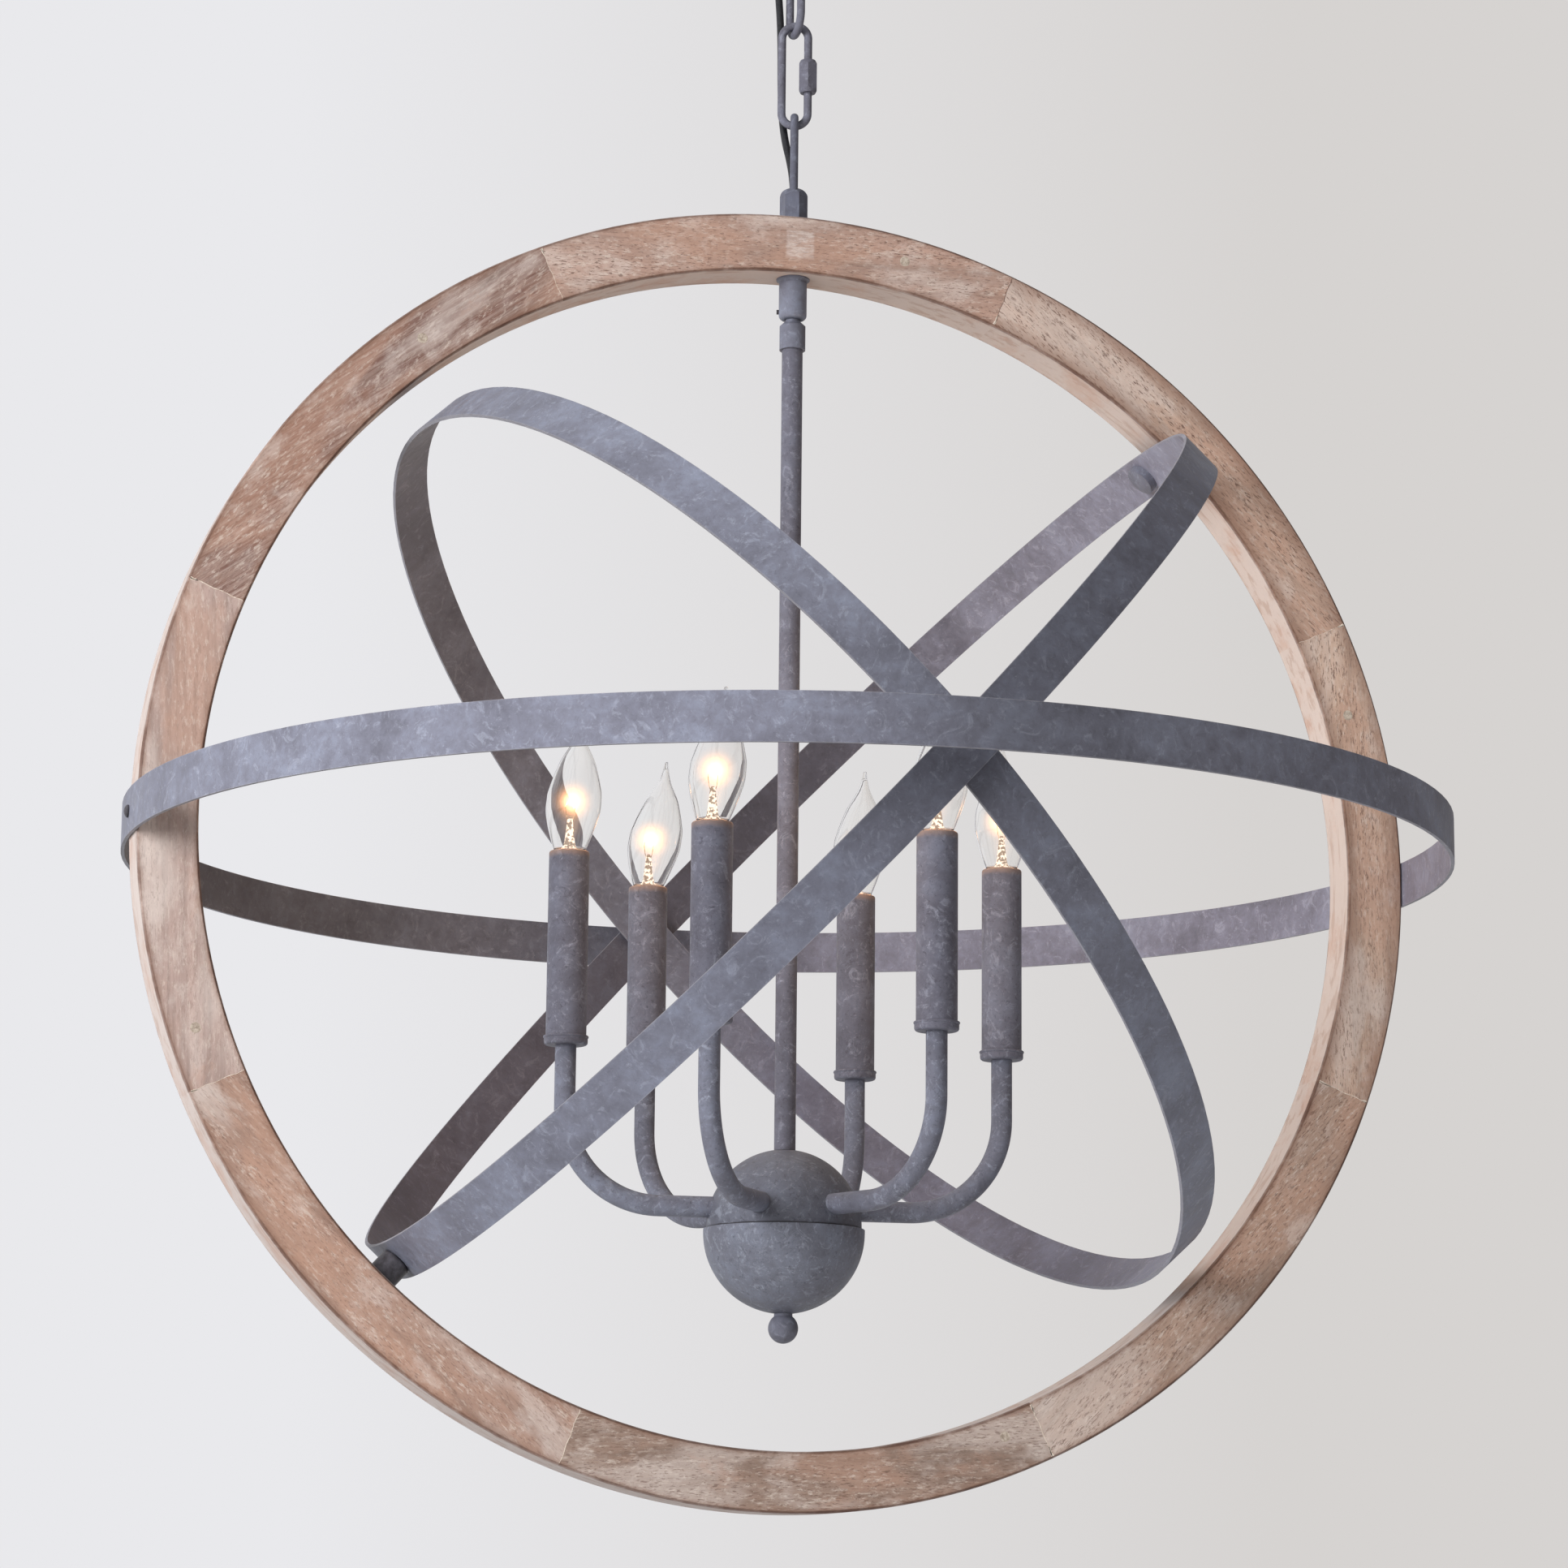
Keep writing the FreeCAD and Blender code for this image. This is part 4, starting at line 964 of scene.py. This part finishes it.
def lampFilament(foot, number):
    # A coil in an arch from one lead wire to the other
    bm = bmesh.new()
    coil = []
    for t in np.linspace(0, 1, lamp["coilSteps"]):
        turns = 2 * math.pi * lamp["coilTurns"] * t
        arch = math.sin(math.pi * t) * lamp["coilArch"]
        out = -lamp["coilHalf"] + 2 * lamp["coilHalf"] * t
        up = lamp["coilLow"] + arch + lamp["coilRadius"] * math.sin(turns)
        coil.append(foot + Vector((out, lamp["coilRadius"] * math.cos(turns), up)))
    sweptTube(bm, coil, lamp["wire"], lamp["wireAround"])
    return finishMesh("lamp_filament_" + number, bm, glows["filamentGlow"])


def lampHalo(k, foot, number):
    middle = foot + leanDirection(k) * lamp["haloShift"]
    middle.z += lamp["haloHeight"]
    around, rows = lamp["haloSegments"]
    bm = bmesh.new()
    bmesh.ops.create_uvsphere(bm, u_segments=around, v_segments=rows, radius=lamp["haloRadius"],
                              matrix=Matrix.Translation(middle))
    halo = finishMesh("lamp_halo_" + number, bm, haloMaterial("lampHalo" + number, middle))
    halo.visible_shadow = False
    return halo


def lampCap(foot, number):
    # Screw cap inside the lampholder, with its contact below
    bm = bmesh.new()
    sections = []
    for j in range(lamp["capRows"] + 1):
        t = j / lamp["capRows"]
        ridge = lamp["capThread"] * math.cos(2 * math.pi * lamp["capTurns"] * t)
        centre = foot + Vector((0, 0, lamp["capTop"] - lamp["capLength"] * t))
        sections.append(circlePoints(centre, lamp["capRadius"] + ridge, lamp["capAround"]))
    contact = foot + Vector((0, 0, lamp["contactHeight"]))
    sections.append(circlePoints(contact, lamp["contactRadius"], lamp["capAround"]))
    ringSurface(bm, sections)
    return finishMesh("lamp_cap_" + number, bm, plain["platedSteel"])


def hideLight(light):
    # Kept out of the camera's view and of the reflections in the lamps' glass
    light.visible_camera = False
    light.visible_glossy = False
    light.visible_transmission = False


def lampLight(foot, number):
    # The light that the lit lamp gives
    data = bpy.data.lights.new("lamp_light_" + number, "POINT")
    data.energy = lamp["light"]
    data.color = lamp["lightColour"]
    data.shadow_soft_size = lamp["lightSize"]
    light = addObject("lamp_light_" + number, data)
    light.location = foot + Vector((0, 0, lamp["lightHeight"]))
    hideLight(light)
    return light


glows = {name: glowMaterial(name) for name in lamp["glows"]}


def buildLamp(k):
    angle = math.radians(lamp["angles"][k])
    reach = lamp["reach"]
    foot = Vector((reach * math.cos(angle), reach * math.sin(angle), sleeveTop - lamp["sink"]))
    number = str(k + 1)
    body = "lamp_" + number
    shell = lampGlass(k, foot, number)
    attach(shell, body)
    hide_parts("bulb_" + number)
    stem = lampStem(foot, number)
    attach(stem, body)
    leads = lampLeads(foot, number)
    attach(leads, body)
    filament = lampFilament(foot, number)
    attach(filament, body)
    halo = lampHalo(k, foot, number)
    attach(halo, body)
    cap = lampCap(foot, number)
    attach(cap, body)
    light = lampLight(foot, number)
    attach(light, body)


for k in range(len(lamp["angles"])):
    buildLamp(k)
print("lamps built")


# Glue lines between the wood segments, on the front and back faces, with filler at some of their ends. The
# lines' widths and the wedges' lengths are in millimetres.
joint = {
    "firstAngle": 24.5,
    "inner": 0.3431,
    "outer": 0.3747,
    "bottom": 0.0142,
    "proud": 0.00009,
    "lines": ["woodFiller", "glueLine", "woodFiller", "woodFiller", "woodFiller", "woodFiller", "woodFiller",
              "woodFiller"],
    "widths": [0.20, 0.22, 0.22, 0.42, 0.26, 0.34, 0.40, 0.36],
    "lineSteps": 26,
    "lineWobble": (0.4, 1.7),
    "drift": 0.00025,
    "driftTurns": 500,
    "innerWedges": [0, 7.0, 0, 0, 0, 0, 6.0, 8.0],
    "outerWedges": [5.0, 0, 5.0, 5.0, 4.0, 0, 6.0, 4.0],
    "wedgeWidth": 0.0011,
    "wedgeEnd": 0.00005,
    "wedgeTaper": 0.7,
    "wedgeSteps": 9,
    "wedgeWobble": ((0.5, 1.1), (0.2, 0.9)),
}


def addStrip(bm, angle, face, profile):
    # profile holds a radius and the half widths to its two sides
    out = Vector((math.cos(angle), 0, math.sin(angle)))
    side = Vector((-math.sin(angle), 0, math.cos(angle)))
    outline = [ringCentre + out * r + side * a for r, a, b in profile]
    outline += [ringCentre + out * r - side * b for r, a, b in reversed(profile)]
    low = [p + Vector((0, face * joint["bottom"], 0)) for p in outline]
    high = [p + Vector((0, face * (wood["halfThick"] + joint["proud"]), 0)) for p in outline]
    ringSurface(bm, [low, high])


def lineProfile(dice, k):
    half = joint["widths"][k] / 2000
    profile = []
    for r in np.linspace(joint["inner"], joint["outer"], joint["lineSteps"]):
        drift = joint["drift"] * math.sin(r * joint["driftTurns"] + k)
        left = half * dice.uniform(*joint["lineWobble"]) + drift
        right = half * dice.uniform(*joint["lineWobble"]) - drift
        profile.append((r, left, right))
    return profile


def wedgeProfile(dice, end, inward, length):
    profile = []
    for t in np.linspace(0, 1, joint["wedgeSteps"]):
        width = joint["wedgeWidth"] * (1 - t) ** joint["wedgeTaper"] + joint["wedgeEnd"]
        left, right = [width * dice.uniform(*wobble) for wobble in joint["wedgeWobble"]]
        profile.append((end + inward * t * length / 1000, left, right))
    if inward < 0:
        profile.reverse()
    return profile


def buildJoints():
    dice = random.Random(11)
    for k in range(len(joint["widths"])):
        angle = math.radians(joint["firstAngle"] + wood["segmentAngle"] * k)
        bm = bmesh.new()
        for face in (-1, 1):
            addStrip(bm, angle, face, lineProfile(dice, k))
        line = finishMesh("joint_line_" + str(k + 1), bm, plain[joint["lines"][k]], smooth=False)
        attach(line, "ring_frame")
        ends = [(joint["outer"], -1, joint["outerWedges"][k]), (joint["inner"], 1, joint["innerWedges"][k])]
        ends = [one for one in ends if one[2]]
        if not ends:
            continue
        bm = bmesh.new()
        for face in (-1, 1):
            for end, inward, length in ends:
                addStrip(bm, angle, face, wedgeProfile(dice, end, inward, length))
        wedge = finishMesh("joint_filler_" + str(k + 1), bm, plain["woodFiller"], smooth=False)
        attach(wedge, "ring_frame")


buildJoints()
print("wood joints built")


studio = {
    "shownLeft": linear(233, 233, 236),
    "shownRight": linear(214, 211, 209),
    "shownFar": linear(128, 122, 120),
    "shownPlaces": (0.42, 0.58, 0.95),
    "worldStops": [(0.1, linear(206, 200, 196)), (0.9, linear(250, 250, 252))],
    "worldLight": 0.32,
    "keyPower": 190.0,
    "keySize": 2.2,
    "keyPlace": (-3.1, -1.8, 0.1),
    "keyColour": (0.97, 0.985, 1.0),
    "fillPower": 8.0,
    "fillSize": 2.4,
    "fillPlace": (1.9, -2.2, 0.1),
    "fillColour": (1.0, 0.96, 0.93),
    "floorDrop": 2.35,
    "floorHalf": 9.0,
    "floorCells": 12,
    "floorNoise": (3.0, 2.0, 0.5),
    "floorStops": [(0.2, linear(240, 240, 241)), (0.8, linear(246, 246, 247))],
    "floorRoughness": 0.9,
    "floorGlow": 0.6,
    "floorStrength": 0.88,
}


def areaLight(name):
    data = bpy.data.lights.new(name, "AREA")
    data.shape = "DISK"
    data.size = studio[name + "Size"]
    data.energy = studio[name + "Power"]
    data.color = studio[name + "Colour"]
    obj = addObject(name, data)
    obj.location = studio[name + "Place"]
    aim = ringCentre - Vector(studio[name + "Place"])
    obj.rotation_mode = "QUATERNION"
    obj.rotation_quaternion = aim.to_track_quat("-Z", "Y")
    hideLight(obj)


def seeingRays(tree):
    # First those from the camera and through glass, then the same with those of reflections
    path = addNode(tree, "ShaderNodeLightPath").outputs
    direct = maths(tree, "MAXIMUM", path["Is Camera Ray"], path["Is Transmission Ray"])
    return direct, maths(tree, "MAXIMUM", direct, path["Is Glossy Ray"])


def buildWorld():
    world = bpy.data.worlds.new("studio")
    bpy.context.scene.world = world
    world.use_nodes = True
    tree = world.node_tree
    tree.nodes.clear()
    direct, seen = seeingRays(tree)
    coords = addNode(tree, "ShaderNodeTexCoord").outputs
    height = rampBetween(tree, splitParts(tree, coords["Generated"])[2], -1.0, 1.0)
    lit = colourRamp(tree, height, studio["worldStops"])
    far = addNode(tree, "ShaderNodeBackground", {"Color": lit, "Strength": studio["worldLight"]})
    # The backdrop that the camera and the glass see: pale, a little darker to the right. The paint also
    # mirrors the room's dim side, far to the right.
    across = vectorMaths(tree, "DOT_PRODUCT", coords["Generated"], camera["right"])
    sideways = rampBetween(tree, across, -1.0, 1.0)
    colours = (studio["shownLeft"], studio["shownRight"], studio["shownFar"])
    stops = list(zip(studio["shownPlaces"], colours))
    pale = colourRamp(tree, sideways, stops[:2])
    room = colourRamp(tree, sideways, stops)
    backdrop = blendColour(tree, direct, room, pale)
    shown = addNode(tree, "ShaderNodeBackground", {"Color": backdrop, "Strength": 1.0})
    out = addNode(tree, "ShaderNodeOutputWorld")
    feed(tree, out.inputs["Surface"], mixShaders(tree, seen, far.outputs[0], shown.outputs[0]))


def floorMaterial():
    mat, tree, out = emptyMaterial("floorPaper")
    place = shiftedCoords(tree, (0, 0, 0))[1]
    soft = noise(tree, place, *studio["floorNoise"])
    paper = colourRamp(tree, soft, studio["floorStops"])
    inputs = {"Base Color": paper, "Roughness": studio["floorRoughness"]}
    shader = addNode(tree, "ShaderNodeBsdfPrincipled", inputs)
    # Seen by the camera, in glass or in a reflection it is partly as pale as the backdrop. The rest keeps
    # the shadow.
    seen = seeingRays(tree)[1]
    glow = addNode(tree, "ShaderNodeEmission", {"Color": paper, "Strength": studio["floorStrength"]})
    share = maths(tree, "MULTIPLY", seen, studio["floorGlow"])
    top = mixShaders(tree, share, shader.outputs[0], glow.outputs[0])
    # Looked at from below, it doesn't hide the object
    under = addNode(tree, "ShaderNodeNewGeometry")
    clear = addNode(tree, "ShaderNodeBsdfTransparent")
    feed(tree, out.inputs["Surface"], mixShaders(tree, under.outputs["Backfacing"], top, clear.outputs[0]))
    return mat


def buildFloor():
    half = studio["floorHalf"]
    count = studio["floorCells"]
    places = [-half + 2 * half * k / count for k in range(count + 1)]
    bm = bmesh.new()
    rows = [[bm.verts.new((x, y, -studio["floorDrop"])) for x in places] for y in places]
    for a, b in zip(rows, rows[1:]):
        for i in range(count):
            bm.faces.new((a[i], a[i + 1], b[i + 1], b[i]))
    floor = finishMesh("floor", bm, floorMaterial(), smooth=False)
    # Its upper side has to be its front
    if floor.data.polygons[0].normal.z < 0:
        floor.data.flip_normals()


areaLight("key")
areaLight("fill")
buildWorld()
buildFloor()
bpy.context.scene.view_settings.view_transform = "Standard"
print("studio built")
